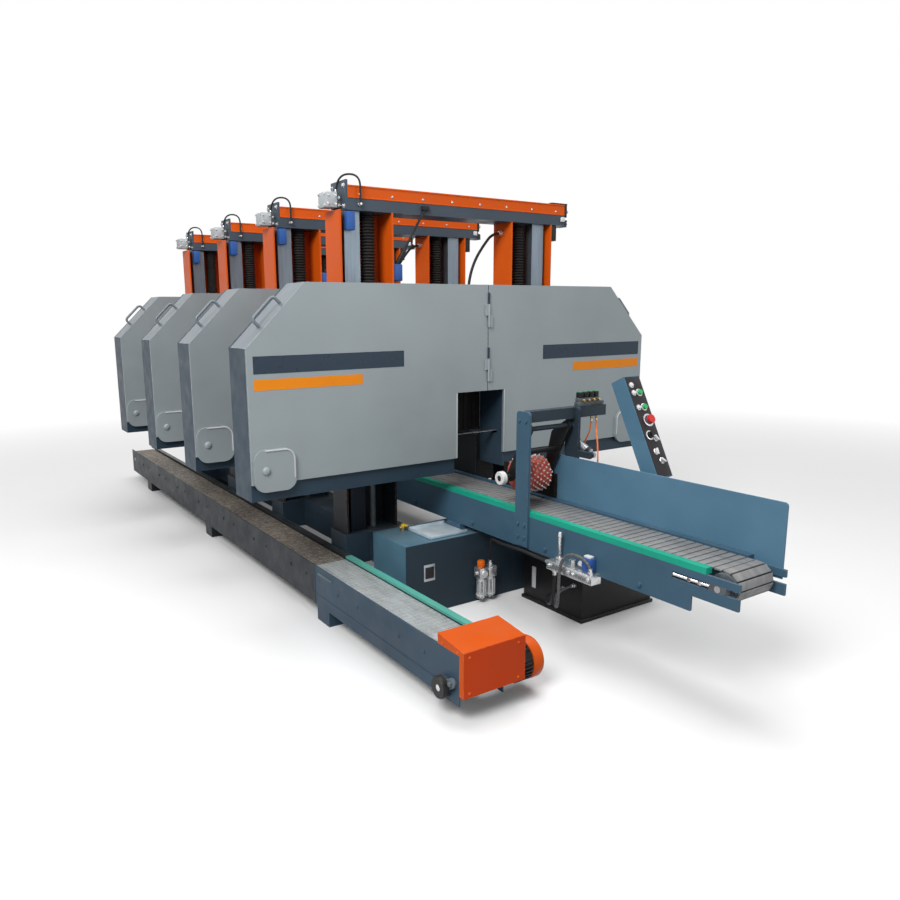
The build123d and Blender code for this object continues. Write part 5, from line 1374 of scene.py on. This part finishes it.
# Hold-down press and control panel
def press_roller():
    """The grooved roller and its spikes."""
    axle = Vector(roller_axle)
    start = axle - Vector((roller_half, 0.0, 0.0))
    length = 2.0 * roller_half
    step = length / roller_rows
    bottom = roller_radius - groove_depth
    rim = roller_radius - rim_depth
    profile = [(roller_bore, 0.0), (rim, 0.0), (roller_radius, rim_length)]
    for at in evenly(step, step, roller_rows - 1):
        profile.extend([(roller_radius, at - groove_half), (bottom, at - groove_floor_half),
                        (bottom, at + groove_floor_half), (roller_radius, at + groove_half)])
    profile.extend([(roller_radius, length - rim_length), (rim, length), (roller_bore, length)])
    drum = Form()
    drum.lathe(profile, spot(start, to_right), roller_sides, True)
    drum.piece("press_roller_drum", "roller_red", "roller_white", "press_roller")
    spikes = Form()
    for row in range(roller_rows):
        for number in range(spikes_round):
            angle = 2.0 * math.pi * (number + 0.5 * (row % 2)) / spikes_round
            outward = Vector((0.0, math.cos(angle), math.sin(angle)))
            foot = start + Vector((step * (row + 0.5), 0.0, 0.0)) + outward * (roller_radius - spike_root)
            tip = foot + outward * spike_height
            spikes.rod(foot, tip, spike_radii[0], spike_sides, spike_radii[1], spike_bevel)
    spikes.piece("press_roller_spikes", "roller_white", "roller_white", "press_roller")


def control_panel():
    """Black face plate with openings round the moving controls, bezels, lamps, knobs and glands.

    The panel's own axes run across it, up along its face and out of it, from its lower left corner.
    """
    lean = math.radians(panel_lean)
    panel = Matrix((
        (1.0, 0.0, 0.0, panel_x),
        (0.0, math.sin(lean), -math.cos(lean), panel_foot[0]),
        (0.0, math.cos(lean), math.sin(lean), panel_foot[1]),
        (0.0, 0.0, 0.0, 1.0),
    )) @ millimetres

    def on_face(across, down):
        """A place on the face plate."""
        return panel @ Matrix.Translation((across, panel_length - down, panel_face))

    left = panel_margin
    right = panel_width - panel_margin
    top = panel_length - panel_margin
    face, bezels, lamps, knobs, collars = (Form() for _ in range(5))
    for across, down, half in panel_controls:
        low = panel_length - down - half
        high = panel_length - down + half
        for start, end in (((left, high), (right, top)), ((left, low), (across - half, high)),
                           ((across + half, low), (right, high))):
            face.box((*start, panel_gap), (*end, panel_face), panel_bevel, panel)
        top = low
        bore = half - panel_gap
        wide, narrow = (half * flare for flare in bezel_flare)
        lower, upper = bezel_heights
        bezels.lathe([(bore, 0), (wide, 0), (wide, lower), (narrow, upper), (bore, upper)],
                     on_face(across, down), bezel_sides, True)
    face.box((left, panel_margin, panel_gap), (right, top, panel_face), panel_bevel, panel)
    for across, down in panel_lamps:
        lamps.lathe(lamp_profile, on_face(across, down), lamp_sides)
        collars.lathe(lamp_collar, on_face(across, down), lamp_sides, True)
    for across, down, turn in panel_knobs:
        collars.lathe(knob_collar, on_face(across, down), knob_sides)
        knobs.box(*knob_grip, on_face(across, down) @ Matrix.Rotation(turn, 4, "Z"))
    face.piece("panel_face", "panel_black", "black_paint")
    bezels.piece("control_bezels", "bright_steel", "satin_steel")
    lamps.piece("panel_lamps", "lamp_white", "button_green")
    knobs.piece("panel_knobs", "lamp_white", "selector_black")
    collars.piece("panel_collars", "bright_steel", "satin_steel")
    for name, (finish, across, length) in panel_glands.items():
        gland = Form()
        gland.rod((across, 0, gland_depth), (across, -length, gland_depth), gland_radii[0], gland_sides,
                  gland_radii[1], place=panel)
        gland.piece(name, finish, "black_paint")


# Cords
def ferrule(form, start, toward, radius):
    """A hex nut and collar at a cord's end."""
    start = Vector(start)
    along = (Vector(toward) - start).normalized()
    seat = start + along * nut_length
    form.rod(start, seat, radius * nut_share, hex_sides, bevel=ferrule_bevel)
    form.rod(seat, start + along * collar_end, radius * collar_share, collar_sides, bevel=ferrule_bevel)


def all_cords():
    """Every cord of the machine, with its ends."""
    cords = {}
    for head in head_range:
        middle = column_middle + head_shift(head)
        for name, (*settings, route) in head_cords.items():
            cords[f"{name}_{head}"] = (*settings, tuple((x, middle + y, z) for x, y, z in route))
    cords.update(single_cords)
    ends = Form()
    for name, (radius, length, stiffness, finish, points) in cords.items():
        cord = hose(name, points, radius, finish)
        ferrule(ends, points[0], points[1], radius)
        ferrule(ends, points[-1], points[-2], radius)
    ends.piece("hose_ends", "bright_steel", "satin_steel")


# Main
for make_finishes in (sprayed_paints, orange_enamels, door_paints, bare_metals, belt_slats, smooth_plastics,
                      single_finishes, clear_plastic, braided):
    make_finishes()
make_world()
make_floor()
make_lamps()
make_camera()
scene.view_settings.view_transform = "Standard"
paint_nodes()
for belt_name, belt_setting in belt_settings.items():
    slat_belt(belt_name, *belt_setting)
door_stripes()
for head_number in head_range:
    for side_name in sides:
        corner_cover(side_name, head_number)
    notch_curtain(head_number)
    notch_highlight_strips(head_number)
    blade_motor(head_number)
    toothed_blade(head_number)
bellows()
make_fittings(gantry_fittings)
make_fittings(drive_fittings)
press_roller()
make_fittings(press_fittings)
make_fittings(valve_fittings)
control_panel()
for fitting_table in (hydraulic_fittings, filter_fittings, bed_fittings, conveyor_fittings):
    make_fittings(fitting_table)
all_cords()
